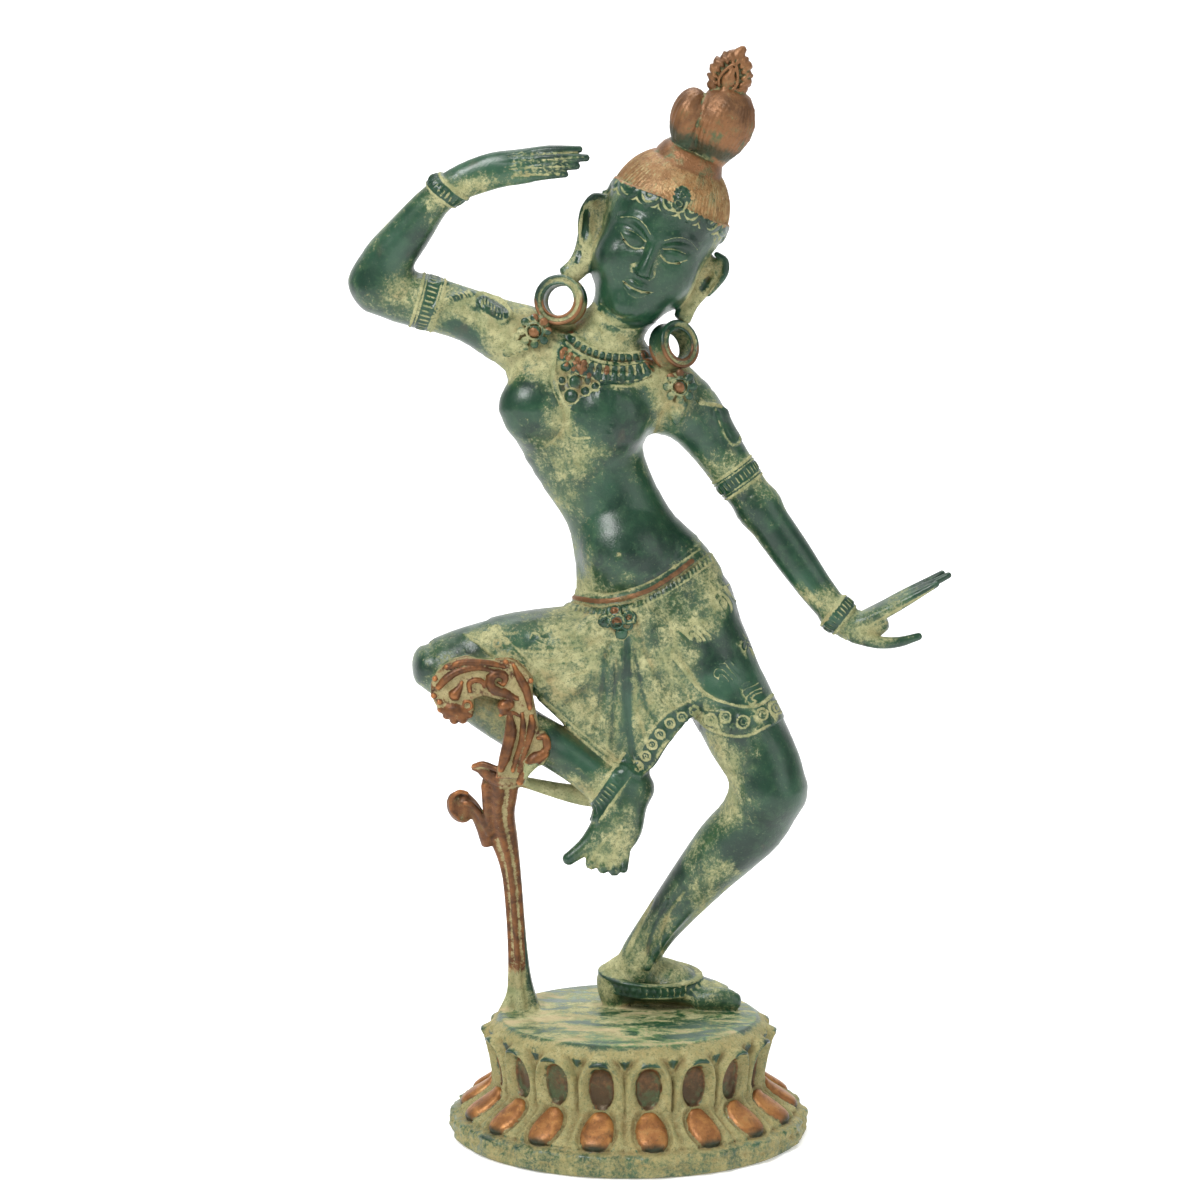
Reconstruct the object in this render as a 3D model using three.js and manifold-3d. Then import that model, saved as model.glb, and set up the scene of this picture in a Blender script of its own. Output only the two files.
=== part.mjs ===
// Dancing tara: one cast figure on an oval lotus plinth, held at the raised knee by a foliate scroll.
// Millimetres, +Z up, the figure faces -Y. Origin: centre of the plinth's underside.
import * as THREE from "three";
import { mergeVertices } from "three/addons/utils/BufferGeometryUtils.js";
import Module from "manifold-3d";

const wasm = await Module();
wasm.setup();

// ---------- driving sizes ----------
const TOTAL_HEIGHT = 390;
const PLINTH = { rim: 65.5, lip: 64.2, waist: 48.4, shoulder: 51.6, top: 46.6, height: 43.3, lipZ: 8.6, waistZ: 18, oval: 0.85 };
const PETALS = { count: 18, phase: THREE.MathUtils.degToRad(8) };
const HEAD = { centre: [10.2, 1.5, 325.2], lean: 22, nod: 12, half: [20.9, 22.5, 29.6] };
const FINISH = 1.1; // facets flatter than this are merged
const HOOP = { major: 7.7, tube: 1.9, depth: 1.5 };

// ---------- helpers ----------
const V = (a) => new THREE.Vector3(a[0], a[1], a[2]);
const rad = THREE.MathUtils.degToRad;
const Y = new THREE.Vector3(0, 1, 0);

function solid(geometry, matrix) {
  let g = geometry.index ? geometry.toNonIndexed() : geometry.clone();
  for (const name of Object.keys(g.attributes)) if (name !== "position") g.deleteAttribute(name);
  if (matrix) g.applyMatrix4(matrix);
  g = mergeVertices(g, 1e-4);
  const triVerts = new Uint32Array(g.index.array);
  let made = new wasm.Manifold(new wasm.Mesh({ numProp: 3, vertProperties: new Float32Array(g.attributes.position.array), triVerts }));
  if (made.volume() < 0) {
    for (let i = 0; i < triVerts.length; i += 3) [triVerts[i + 1], triVerts[i + 2]] = [triVerts[i + 2], triVerts[i + 1]];
    made = new wasm.Manifold(new wasm.Mesh({ numProp: 3, vertProperties: new Float32Array(g.attributes.position.array), triVerts }));
  }
  return made;
}

// A closed skin over rings: rings is an array of arrays of Vector3, all the same length.
function skin(rings) {
  const n = rings[0].length, pos = [], index = [];
  for (const ring of rings) for (const p of ring) pos.push(p.x, p.y, p.z);
  for (let i = 0; i + 1 < rings.length; i++)
    for (let j = 0; j < n; j++) {
      const a = i * n + j, b = i * n + ((j + 1) % n), c = a + n, d = b + n;
      index.push(a, b, d, a, d, c);
    }
  for (const end of [0, rings.length - 1]) {
    const c = new THREE.Vector3();
    rings[end].forEach((p) => c.add(p));
    c.multiplyScalar(1 / n);
    const k = pos.length / 3;
    pos.push(c.x, c.y, c.z);
    for (let j = 0; j < n; j++) {
      const a = end * n + j, b = end * n + ((j + 1) % n);
      if (end === 0) index.push(k, b, a);
      else index.push(k, a, b);
    }
  }
  const g = new THREE.BufferGeometry();
  g.setAttribute("position", new THREE.Float32BufferAttribute(pos, 3));
  g.setIndex(index);
  return g;
}

// A limb: stations are [x, y, z, half width in the frontal plane, half depth]; the ends are domed.
function limb(stations, sides = 10, steps = 6, dome = 0.5) {
  const curve = new THREE.CatmullRomCurve3(stations.map(V), false, "centripetal");
  const value = (t, k) => {
    const s = t * (stations.length - 1), i = Math.min(Math.floor(s), stations.length - 2), u = s - i, w = u * u * (3 - 2 * u);
    return stations[i][k] * (1 - w) + stations[i + 1][k] * w;
  };
  const rings = [];
  const ring = (t, scale, push) => {
    const c = curve.getPoint(t), T = curve.getTangent(t);
    const A = new THREE.Vector3().crossVectors(Y, T).normalize();
    const B = new THREE.Vector3().crossVectors(T, A).normalize();
    c.addScaledVector(T, push);
    const a = value(t, 3) * scale, b = value(t, 4) * scale;
    return Array.from({ length: sides }, (_, j) => {
      const q = (2 * Math.PI * j) / sides;
      return c.clone().addScaledVector(A, a * Math.cos(q)).addScaledVector(B, b * Math.sin(q));
    });
  };
  const r0 = Math.min(stations[0][3], stations[0][4]) * dome, r1 = Math.min(stations.at(-1)[3], stations.at(-1)[4]) * dome;
  rings.push(ring(0, 0.66, -r0 * 0.75));
  for (let i = 0; i <= steps; i++) rings.push(ring(i / steps, 1, 0));
  rings.push(ring(1, 0.66, r1 * 0.75));
  return solid(skin(rings));
}

// An ellipsoid with half axes r, turned so that its own Z runs along dir, and its own X across the front.
function ball(c, r, dir = [0, 0, 1], w = 8, h = 6) {
  const z = V(dir).normalize();
  let x = new THREE.Vector3().crossVectors(Y, z);
  if (x.length() < 1e-3) x = new THREE.Vector3(1, 0, 0);
  x.normalize();
  const y = new THREE.Vector3().crossVectors(z, x);
  const m = new THREE.Matrix4().makeBasis(x, y, z).setPosition(V(c));
  const g = new THREE.SphereGeometry(1, w, h).rotateX(Math.PI / 2).scale(r[0], r[1], r[2]);
  return solid(g, m);
}

// A band round a limb: a ring of rectangular-ish section about the axis dir.
function band(c, dir, a, b, height, w = 10) {
  const prof = [[0, -height / 2], [0.95, -height / 2], [1, 0], [0.95, height / 2], [0, height / 2]];
  const g = new THREE.LatheGeometry(prof.map((p) => new THREE.Vector2(p[0], p[1])), w).rotateX(Math.PI / 2).scale(a, b, 1);
  const z = V(dir).normalize(), x = new THREE.Vector3().crossVectors(Y, z).normalize(), y = new THREE.Vector3().crossVectors(z, x);
  return solid(g, new THREE.Matrix4().makeBasis(x, y, z).setPosition(V(c)));
}

const join = (list) => list.reduce((a, b) => a.add(b));

// ---------- plinth ----------
function plinth() {
  const P = PLINTH, N = PETALS.count * 4;
  // radius, height, and how far the petals swell there: outward, upward
  const prof = [[0, 0, 0, 0], [P.rim - 1, 0, 0.6, 0], [P.lip, P.lipZ - 1, 1.5, 0], [60.6, 10.4, 0.8, 1.5], [54.6, 13.6, 0, 2.1], [P.waist + 1.6, P.waistZ - 0.4, 0, 0.4],
    [P.waist, P.waistZ + 2.4, 0.2, 0], [P.waist + 1.2, 28.5, 2.1, 0], [P.shoulder - 0.8, 36.8, 0.6, 0], [P.shoulder, 39.6, 0, 0], [P.top, P.height, 0, 0], [0, P.height, 0, 0]];
  const g = new THREE.LatheGeometry(prof.map((p) => new THREE.Vector2(p[0], p[1])), N).rotateX(Math.PI / 2);
  const at = g.attributes.position;
  for (let i = 0; i < at.count; i++) {
    const x = at.getX(i), y = at.getY(i), z = at.getZ(i), r = Math.hypot(x, y), p = prof[i % prof.length];
    if (r < 1) continue;
    const wave = 1.6 * Math.abs(Math.cos((PETALS.count / 2) * (Math.atan2(x, -y) - PETALS.phase))) - 0.9, k = (r + wave * p[2]) / r;
    at.setXYZ(i, x * k, y * k * P.oval, z + wave * p[3]);
  }
  return solid(g);
}

// ---------- body ----------
const TORSO = [[14.1, 8, 170, 18.1, 14], [9.7, 8, 186.8, 28.1, 19.5], [4.6, 7, 203.7, 25.6, 17.8], [-1.1, 6.5, 216.8, 19.7, 15.2], [-6.5, 6, 230.2, 17.2, 13.2], [-13.3, 5.5, 243.9, 19.3, 13.6],
  [-16.5, 5, 255.8, 23.9, 14.4], [-16.2, 5.5, 266.4, 26.4, 14.6], [-13.3, 6, 277, 25.2, 13.6], [-9.4, 6, 285.5, 17.7, 11.5], [-5.5, 5, 293.4, 11.3, 10], [-0.6, 3.5, 301.5, 10.6, 10], [3.6, 2.5, 309.6, 10.2, 10]];
const UPPER_ARM_R = [[-24.7, 7, 284.1, 10.7, 10], [-35.3, 7, 288.3, 11.7, 11], [-44.9, 6, 291.6, 11, 10.8], [-56.5, 5, 296.9, 9.4, 9.2], [-70.5, 3.5, 301.5, 9.4, 9.4], [-80.3, 2, 304.1, 9.5, 9.6], [-88.6, 0.5, 307.6, 9.5, 9.4]];
const FOREARM_R = [[-89.3, 0.5, 307.3, 9.1, 9.2], [-85.6, -1, 316, 8.8, 9], [-77.6, -4, 325.8, 7.7, 7.8], [-70.3, -7, 334.9, 6.3, 6.3], [-64.6, -9, 340.5, 5.3, 5.3]];
const UPPER_ARM_L = [[3.8, 7, 272.3, 12.1, 11], [13.7, 7, 267.7, 12.8, 11.5], [22.3, 7, 262, 11.1, 10.8], [30.9, 6.5, 250.6, 8.9, 9], [39.2, 6, 238.5, 7.9, 8], [46.7, 5, 228.5, 7.3, 7.4]];
const FOREARM_L = [[46, 5, 229.3, 7.3, 7.4], [56.4, 3, 214.7, 7.1, 7], [65.3, 0.5, 202.1, 6.3, 6], [73.6, -1.6, 191.6, 5.6, 5.4]];
const THIGH_R = [[-2.5, 5, 176.4, 17.3, 19], [-21.2, 1, 177, 16.1, 16.5], [-39.1, -2, 177.5, 13.9, 14], [-56.8, -5, 175.8, 11.4, 12.3], [-68.9, -7, 174, 8.9, 10.8], [-73.4, -8, 174.3, 6, 8.5]];
const SHIN_R = [[-70.3, -7, 172.6, 7.1, 8.8], [-55, -8.5, 162, 8.5, 8.8], [-40.7, -10, 152.5, 8.5, 8.6], [-27.6, -11, 145.1, 7.8, 8], [-16.5, -12, 137.3, 7.1, 7.2], [-8.3, -12.5, 130.1, 7.1, 6.8]];
const FOOT_R = [[-4.1, -12, 133.7, 8.6, 7.5], [-3, -13.5, 127.1, 8.5, 7.6], [-5.8, -15.5, 118.4, 8, 6.4], [-8.3, -17, 110.4, 8.2, 4.8], [-8.2, -17.6, 106.4, 7, 4]];
const THIGH_L = [[19.8, 8, 188.3, 18, 19], [27.4, 5, 175.3, 16.9, 18], [35.6, 1, 160.3, 14.7, 15.6], [42.3, -3, 147.5, 14.4, 14.6], [48.3, -6, 136.8, 13.3, 13.6], [51.2, -6.5, 128.1, 12.9, 13]];
const SHIN_L = [[51.2, -6.5, 128.9, 12.9, 13], [46.1, -4, 115.8, 13, 12.2], [38.7, -1, 105.5, 12.3, 11.6], [24.9, 4, 87.6, 9.8, 9.6], [14.4, 8, 74.5, 7.9, 7.6], [7.2, 10, 65.3, 7.4, 7.2], [2.8, 11, 58.2, 7, 7]];

function figure() {
  const parts = [
    limb(TORSO, 14, 11), limb(UPPER_ARM_R, 8, 5), limb(FOREARM_R, 8, 3), limb(UPPER_ARM_L, 8, 4), limb(FOREARM_L, 8, 2),
    limb(THIGH_R, 9, 5), limb(SHIN_R, 8, 4), limb(THIGH_L, 10, 5), limb(SHIN_L, 9, 5),
    ball([-89.4, 0.4, 308.3], [9.4, 9, 9.4], [0, 0, 1], 8, 6), // elbow
    ball([-33.8, -3.2, 262.2], [11.6, 9, 12.2]), ball([-7.2, -4.2, 259.6], [11.8, 9.2, 12.4]), // breasts
    ball([-2, 15, 181], [16.5, 13, 17]), ball([22, 15, 187], [16.5, 13, 17]), // seat
    // waist roll and belt, following the tilt of the hips
    band([4.4, 6.9, 204.6], [-0.29, 0.05, 0.95], 26.6, 18.9, 5.4, 14),
  ];
  return parts;
}

// ---------- hands and feet ----------
function fingers(rows) {
  return rows.map((r) => limb([r[0], r[1], r[2]], 5, 2, 0.8));
}
function handR() {
  return [
    limb([[-64.6, -9, 340.5, 5.2, 5], [-57, -10, 344.4, 6.4, 4.4], [-46, -12, 347.4, 6.9, 3.6], [-37, -13.4, 348.6, 6.3, 3.1]], 8, 3),
    ...fingers([
      [[-39, -12.6, 352.6, 1.9, 1.9], [-28, -14, 354, 1.7, 1.7], [-19, -15, 354.6, 1.2, 1.3]],
      [[-39, -14, 350, 1.9, 2], [-27, -15.4, 351.8, 1.8, 1.8], [-16.4, -16, 352.2, 1.3, 1.3]],
      [[-39, -14.2, 346.8, 1.9, 2], [-29, -15.4, 348.6, 1.8, 1.8], [-21, -16, 349.4, 1.2, 1.3]],
      [[-40, -13.4, 344.2, 1.8, 1.9], [-31, -14.4, 345.6, 1.6, 1.7], [-24, -15, 346.6, 1.1, 1.2]],
      [[-60, -11, 338.6, 2.8, 2.6], [-50, -8.8, 341, 2.1, 2.4], [-37, -8.2, 343.2, 1.4, 1.7]],
    ]),
    band([-63.6, -9.2, 341.2], [0.62, -0.2, 0.72], 7, 6.8, 4.4, 10),
  ];
}
function handL() {
  return [
    limb([[73.6, -1.6, 191.6, 5.6, 5.2], [79.4, -2.6, 187.2, 5.8, 4.6], [85.4, -3.4, 186.2, 5.2, 4.2], [90, -4, 188.4, 3.6, 4]], 8, 3),
    ...fingers([
      [[84, -7.4, 189, 2.2, 1.8], [98, -9.4, 195.6, 1.8, 1.5], [109, -10.6, 202, 1, 1.1]],
      [[84, -4.6, 189.4, 2.3, 2], [99, -6.4, 197.2, 2, 1.7], [112.6, -7.4, 205, 1, 1.2]],
      [[84, -1.6, 189.2, 2.2, 1.9], [98, -3, 196.4, 1.9, 1.6], [110.4, -4, 203.2, 1, 1.1]],
      [[83, 1, 188.4, 2, 1.7], [95, 0.4, 194.2, 1.7, 1.5], [105, -0.4, 199.4, 1, 1]],
      [[81, -6, 183.6, 2.6, 2.4], [92, -7.6, 182.2, 2, 2], [102.2, -8.2, 184.2, 1.5, 1.5]],
    ]),
    band([75.4, -1.9, 191.6], [0.78, -0.15, -0.6], 7.4, 7, 4.6, 10),
  ];
}
function feet() {
  return [
    limb(FOOT_R, 10, 5),
    limb([[-13.5, -17, 114, 3.2, 3.2], [-17.6, -17.8, 109, 2.8, 2.8], [-21.4, -18.4, 105.4, 1.9, 1.9]], 6, 2, 0.8),
    ...[[-13.4, 102.8, 2.6], [-9.8, 100.8, 2.4], [-6.4, 99.8, 2.2], [-3.6, 99.6, 1.9]].map((t) => ball([t[0], -18, t[1] + 1], [t[2], 2.5, 3.4], [0, 0, 1], 5, 4)),
    ball([2.6, -9, 130], [6.4, 7.2, 6.6], [0, 0, 1], 8, 6), // raised heel
    band([-6.6, -12.6, 130.2], [0.82, -0.1, -0.57], 10.6, 9.2, 4.6, 10), // raised anklet
    // standing foot: heel, arch and toes, cut off level at the platform
    join([
      limb([[-4.4, 13, 49.6, 7, 7], [2, 13, 52, 9.6, 7.6], [12, 12.5, 51.2, 8.6, 8], [22, 12, 48.6, 6.2, 8.4], [32, 11.6, 47.2, 4.6, 8.2], [36, 11.4, 46.8, 4, 7.6]], 10, 5, 0.7),
      ...[5.4, 9, 12.2, 15.2, 18].map((y, i) => ball([37.2 - i * 1.1, y, 46.2], [4.4 - i * 0.3, 1.9 - i * 0.08, 2.9 - i * 0.2], [0, 0, 1], 5, 4)),
    ]).intersect(solid(new THREE.BoxGeometry(120, 120, 60).translate(0, 0, PLINTH.height + 29.6))),
    // the anklet that droops over the instep
    band([9.4, 12.2, 50.8], [0.26, -0.16, 0.95], 18.8, 10.8, 5, 12),
  ];
}

// ---------- head ----------
function head() {
  const lean = rad(HEAD.lean), nod = rad(HEAD.nod);
  const up = new THREE.Vector3(Math.sin(lean) * Math.cos(nod), -Math.sin(nod), Math.cos(lean) * Math.cos(nod));
  const right = new THREE.Vector3(Math.cos(lean), 0, -Math.sin(lean)).normalize();
  const back = new THREE.Vector3().crossVectors(up, right).normalize();
  const C = V(HEAD.centre);
  const at = (x, y, z) => C.clone().addScaledVector(right, x).addScaledVector(back, y).addScaledVector(up, z);
  const m = (x, y, z) => new THREE.Matrix4().makeBasis(right, back, up).setPosition(at(x, y, z));
  const blob = (x, y, z, a, b, c, w = 8, h = 6) => solid(new THREE.SphereGeometry(1, w, h).rotateX(Math.PI / 2).scale(a, b, c), m(x, y, z));
  const [hx, hy, hz] = HEAD.half;
  const parts = [
    blob(0, 2, 8.6, hx - 0.3, hy, 20.8, 12, 8), // cranium with the hair cap
    blob(0, -4, -8, 17.2, 16.4, 21.6, 10, 8), // face and jaw
    blob(0, -19.6, -7.5, 2.3, 3.8, 6.4, 6, 4), // nose
    blob(0, -17.6, -15.6, 4.4, 2.2, 2.1, 6, 4), // lips
    blob(0, -16.2, -24.2, 4.8, 4, 4.4, 6, 5), // chin
    solid(new THREE.LatheGeometry([[0, -2.4], [11.6, -2.4], [12, -0.4], [10.6, 2.6], [0, 2.6]].map((p) => new THREE.Vector2(p[0], p[1])), 12).rotateX(Math.PI / 2), m(1.2, 3.5, 29.6)), // head band
    blob(-2.6, 4, 39, 7.6, 9.2, 10.6, 8, 6), blob(7.2, 3.6, 40.6, 10, 10.4, 12, 10, 7), // two-lobed bun
  ];
  // flame finial: a leaf whose edge breaks into seven tongues
  const leaf = new THREE.Shape(), tongues = 7, half = 15;
  for (let i = 0; i <= 4 * half; i++) {
    const u = i / (2 * half) - 1; // -1 at the left foot, 0 at the tip, 1 at the right foot
    const h = 1 - Math.abs(u), wide = 7.4 * Math.pow(Math.sin(Math.PI * Math.min(1, 0.12 + 0.88 * h * 0.98)), 0.75) * (0.9 + 0.16 * Math.cos(tongues * Math.PI * u));
    const x = Math.sign(u) * Math.max(wide, 0.02) * (u === 0 ? 0 : 1), z = 23.1 * Math.pow(h, 0.92);
    if (i % 2 === 0) leaf[i === 0 ? "moveTo" : "lineTo"](x, z);
  }
  const flame = new THREE.ExtrudeGeometry(leaf, { depth: 4.4, bevelEnabled: false }).translate(0, 0, -2.2).rotateX(Math.PI / 2);
  parts.push(solid(flame, m(3.2, 3, 48.6)));
  return parts;
}

// ---------- ears, hoops and rosettes ----------
function jewels() {
  const parts = [
    limb([[-9.8, 5, 339.4, 2.4, 3], [-12.6, 4.4, 335.4, 3.4, 2.4], [-14.4, 3.6, 328.4, 3.1, 2.2], [-17, 2.4, 319.6, 2.7, 2.2], [-22.6, -0.4, 311, 3.4, 3]], 6, 4),
    ball([-8.8, 6.4, 332], [6, 5, 6.8], [0.3, 0, 1], 8, 6), ball([27.6, 6.4, 312.4], [4.4, 5, 6], [0.6, 0, 1], 8, 6),
    limb([[31.4, 5, 315.4, 2.2, 3], [28.8, 4.6, 311, 3.3, 2.4], [24.6, 4, 306, 3, 2.2], [20.2, 2.6, 300, 2.8, 2.2], [17.6, 1.2, 295.4, 3.6, 2.4]], 6, 4),
  ];
  const hoop = (c, yaw, tilt, r) =>
    solid(new THREE.TorusGeometry(r, HOOP.tube, 5, 14).scale(1, 1, HOOP.depth).rotateX(Math.PI / 2), new THREE.Matrix4().makeTranslation(...c).multiply(new THREE.Matrix4().makeRotationZ(rad(yaw))).multiply(new THREE.Matrix4().makeRotationY(rad(tilt))));
  parts.push(hoop([-24.2, -1.4, 302.8], -12, 10, HOOP.major - 0.2), hoop([15.6, -1.2, 286.6], 38, 20, HOOP.major + 0.5));
  parts.push(ball([-27, -1, 293.6], [4, 4, 3.6], [0, 0, 1], 6, 4), ball([17, 0.6, 277.4], [4, 4, 3.4], [0, 0, 1], 6, 4)); // where the hoops rest on the shoulders
  const rosette = (c, down) => {
    const list = [ball(c, [4.2, 3, 4.2], [0, 0, 1], 8, 4)];
    list.push(ball([c[0] + down[0] * 5.4, c[1] + down[1] * 2, c[2] + down[2] * 5.4], [2.4, 2.2, 4.4], down, 6, 4));
    return list;
  };
  parts.push(...rosette([-33.6, -4.6, 291.8], [-0.72, -0.05, -0.72]), ...rosette([17, -4.6, 272.9], [-0.14, 0, -0.98]));
  // collar with its pendant
  const collar = [];
  for (let i = 0; i <= 8; i++) {
    const q = rad(-78 + (156 * i) / 8);
    collar.push([-8.6 + 17.4 * Math.sin(q), 4.6 - 14.6 * Math.cos(q), 284.2 - 4.8 * Math.cos(q) - 5.4 * Math.sin(q), 2.6, 4.4]);
  }
  parts.push(limb(collar, 5, 8, 0.6), ball([-18.6, -8.6, 272.6], [4.6, 2, 5.4], [0.2, 0, 1], 6, 4));
  // armlets
  parts.push(band([-71.4, 3.4, 301.8], [-0.95, -0.1, 0.28], 10.2, 10.2, 5, 10), band([38.9, 6, 238.9], [0.58, -0.05, -0.8], 8.6, 8.8, 5, 10));
  return parts;
}

// ---------- skirt panel between the legs ----------
function apron() {
  const top = [-4.6, -12.4, 191.5], rows = [];
  const left = [[-12, 196], [-28, 178], [-35, 163.4], [-24, 150], [-9.6, 136]], right = [[6, 196], [20, 172], [24, 154], [17, 144], [7.6, 133.4]];
  // a fan of pleats, from the clasp down to the hem
  const n = 5;
  for (let i = 0; i < n; i++) {
    const t = i / (n - 1);
    const L = left[i], R = right[i], front = -13.4 + 3.4 * t, thick = 15 - 6.4 * t;
    const ring = [];
    for (let j = 0; j <= 8; j++) {
      const u = j / 8, x = L[0] + (R[0] - L[0]) * u, z = L[1] + (R[1] - L[1]) * u - (i === n - 1 ? 1.6 * Math.sin(Math.PI * u) : 0);
      ring.push(new THREE.Vector3(x, front + 1.2 * Math.cos(Math.PI * 4 * u) * t - 1.4 * Math.sin(Math.PI * u), z));
    }
    for (let j = 8; j >= 0; j--) {
      const u = j / 8, x = L[0] + (R[0] - L[0]) * u, z = L[1] + (R[1] - L[1]) * u - (i === n - 1 ? 1.6 * Math.sin(Math.PI * u) : 0);
      ring.push(new THREE.Vector3(x, front + thick + 1.4 * Math.sin(Math.PI * u), z));
    }
    rows.push(ring);
  }
  return [solid(skin(rows)), ball(top, [3.4, 2.6, 4.4], [0, 0, 1], 8, 6)];
}

// ---------- foliate scroll ----------
function scroll() {
  const S = (x, y, z, a, b = 4.4) => [x, y, z, a, b];
  return [
    limb([S(-39.6, 9, 42.6, 7, 6.4), S(-39.4, 8.4, 50.4, 5.3, 5), S(-40.4, 7.2, 62, 4.3, 4.4), S(-41.6, 5, 84.4, 3.8, 4), S(-43.6, 1.4, 104, 4.4, 4.2), S(-46.4, -3.2, 116.6, 5.8, 4.4), S(-46, -9, 130, 7, 4.6),
      S(-42.2, -14.6, 140, 6.4, 4.6), S(-40.2, -18.2, 152, 5.2, 4.4), S(-38, -19.8, 163.4, 4.7, 4.2), S(-39.4, -20, 170.4, 4.8, 4.2), S(-46.2, -19.6, 173.8, 4.7, 4.2), S(-54, -19.4, 173.6, 4.6, 4.2), S(-61, -19.4, 169.2, 5, 4.2), S(-64, -19.2, 162.4, 5.4, 4.2), S(-61.4, -18.8, 157.6, 4.6, 3.8)], 7, 18, 0.7),
    // side curls of the leaf
    ball([-60.6, -4, 122.6], [5.6, 3.2, 6.4], [-0.35, 0, 0.94], 8, 6),
    limb([S(-58.6, -4, 119.6, 3.4, 2.8), S(-53.6, -3.2, 118.2, 3.4, 3), S(-47.6, -2.4, 112.4, 4, 3.4)], 6, 3),
    ball([-54, -11, 136.4], [4.4, 2.8, 2.8], [0, 0, 1], 6, 4),
    ball([-31, -17, 143.6], [4.6, 3.6, 5.6], [0.2, 0, 1], 8, 6),
    ball([-44.6, -20, 160.6], [3.4, 3.2, 3.2], [0, 0, 1], 6, 4),
    ball([-46.8, -20.4, 169.4], [3.8, 3.4, 3.8], [0, 0, 1], 6, 4),
    // bridge of metal from the scroll to the raised ankle
    limb([[-40.4, -9.4, 131.4, 2.6, 2.6], [-32, -7.4, 128, 3, 2.6], [-22, -6.6, 126, 3.6, 2.6], [-9, -8.4, 127.6, 4.2, 3]], 6, 3),
  ];
}

const body = join([...figure(), ...handR(), ...handL(), ...feet(), ...head(), ...jewels(), ...apron(), ...scroll()]).simplify(FINISH);
// pockets sealed inside the casting are filled
const mesh = join(plinth().add(body).decompose().filter((b) => b.volume() > 0)).getMesh();
const geometry = new THREE.BufferGeometry();
const pos = new Float32Array(mesh.numVert * 3);
for (let i = 0; i < mesh.numVert; i++) pos.set(mesh.vertProperties.subarray(i * mesh.numProp, i * mesh.numProp + 3), i * 3);
geometry.setAttribute("position", new THREE.BufferAttribute(pos, 3));
geometry.setIndex(new THREE.BufferAttribute(new Uint32Array(mesh.triVerts), 1));
geometry.computeVertexNormals();

const bronze = new THREE.MeshStandardMaterial({ color: new THREE.Color(0.12, 0.25, 0.18), roughness: 0.55, metalness: 0.25 });
const cast = new THREE.Mesh(geometry, bronze);
cast.name = "dancing_tara";
const group = new THREE.Group();
group.add(cast);
group.userData.height = TOTAL_HEIGHT;

export default group;
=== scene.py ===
"""Dancing tara: the finished look of one cast figure on an oval lotus plinth.

The form is worked as an implicit surface in millimetres, the fine carving is pressed into its points,
the plinth is a carved profile, and the two are joined into one closed mesh that stands for the cast node.
"""

import bpy
import math
import time
import numpy as np
import openvdb as vdb
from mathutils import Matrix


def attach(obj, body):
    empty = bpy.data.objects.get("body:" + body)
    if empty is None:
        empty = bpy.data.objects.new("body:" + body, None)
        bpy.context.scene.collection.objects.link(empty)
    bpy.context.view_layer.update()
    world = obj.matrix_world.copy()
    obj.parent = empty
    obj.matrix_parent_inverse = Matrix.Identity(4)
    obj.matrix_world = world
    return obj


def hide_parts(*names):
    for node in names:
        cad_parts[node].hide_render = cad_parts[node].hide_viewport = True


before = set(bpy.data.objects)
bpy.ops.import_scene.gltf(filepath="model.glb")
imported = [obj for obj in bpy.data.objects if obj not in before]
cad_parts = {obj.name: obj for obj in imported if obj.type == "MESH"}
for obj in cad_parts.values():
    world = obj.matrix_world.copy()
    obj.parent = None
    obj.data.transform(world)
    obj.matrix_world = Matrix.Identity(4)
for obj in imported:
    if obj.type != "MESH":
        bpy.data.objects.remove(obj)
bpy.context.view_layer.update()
T0 = time.time()


def say(*words):
    print("[tara %.1fs]" % (time.time() - T0), *words, flush=True)


rng = np.random.default_rng(7)
f32 = np.float32

# ------------------------------------------------------------------ the picture's camera, in millimetres
CAM_X, CAM_D, CAM_H = -10.47, 1000.0, 342.0
TILT = math.radians(8.305)
FPX = 2827.6


def project(P):
    vx, vy, vz = P[:, 0] - CAM_X, P[:, 1] + CAM_D, P[:, 2] - CAM_H
    d = vy * math.cos(TILT) - vz * math.sin(TILT)
    u = vy * math.sin(TILT) + vz * math.cos(TILT)
    return 600 + FPX * vx / d, 600 - FPX * u / d


def unproject(px, py, y):
    rx, ry = (px - 600) / FPX, (600 - py) / FPX
    dy = math.cos(TILT) + ry * math.sin(TILT)
    dz = -math.sin(TILT) + ry * math.cos(TILT)
    s = (y + CAM_D) / dy
    return np.array([CAM_X + rx * s, y, CAM_H + dz * s])


# ------------------------------------------------------------------ sizes
H = 0.4  # sampling of the implicit form
FAR = 6.0

TORSO = [[14.1, 8, 170, 18.1, 14], [9.7, 8, 186.8, 28.1, 19.5], [4.6, 7, 203.7, 25.6, 17.8], [-1.1, 6.5, 216.8, 19.7, 15.2], [-6.5, 6, 230.2, 17.2, 13.2], [-13.3, 5.5, 243.9, 19.3, 13.6],
         [-16.5, 5, 255.8, 23.6, 14.4], [-16.2, 5.5, 266.4, 26.0, 14.6], [-13.3, 6, 277, 24.6, 13.6], [-9.4, 6, 285.5, 17.7, 11.5], [-5.5, 5, 293.4, 11.3, 10], [-0.6, 3.5, 301.5, 10.6, 10], [3.6, 2.5, 309.6, 10.2, 10]]
UPPER_ARM_R = [[-24.7, 7, 284.1, 10.7, 10], [-35.3, 7, 288.3, 11.7, 11], [-44.9, 6, 291.6, 11, 10.8], [-56.5, 5, 296.9, 9.4, 9.2], [-70.5, 3.5, 301.5, 9.4, 9.4], [-80.3, 2, 304.1, 9.5, 9.6], [-88.6, 0.5, 307.6, 9.3, 9.4]]
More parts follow.
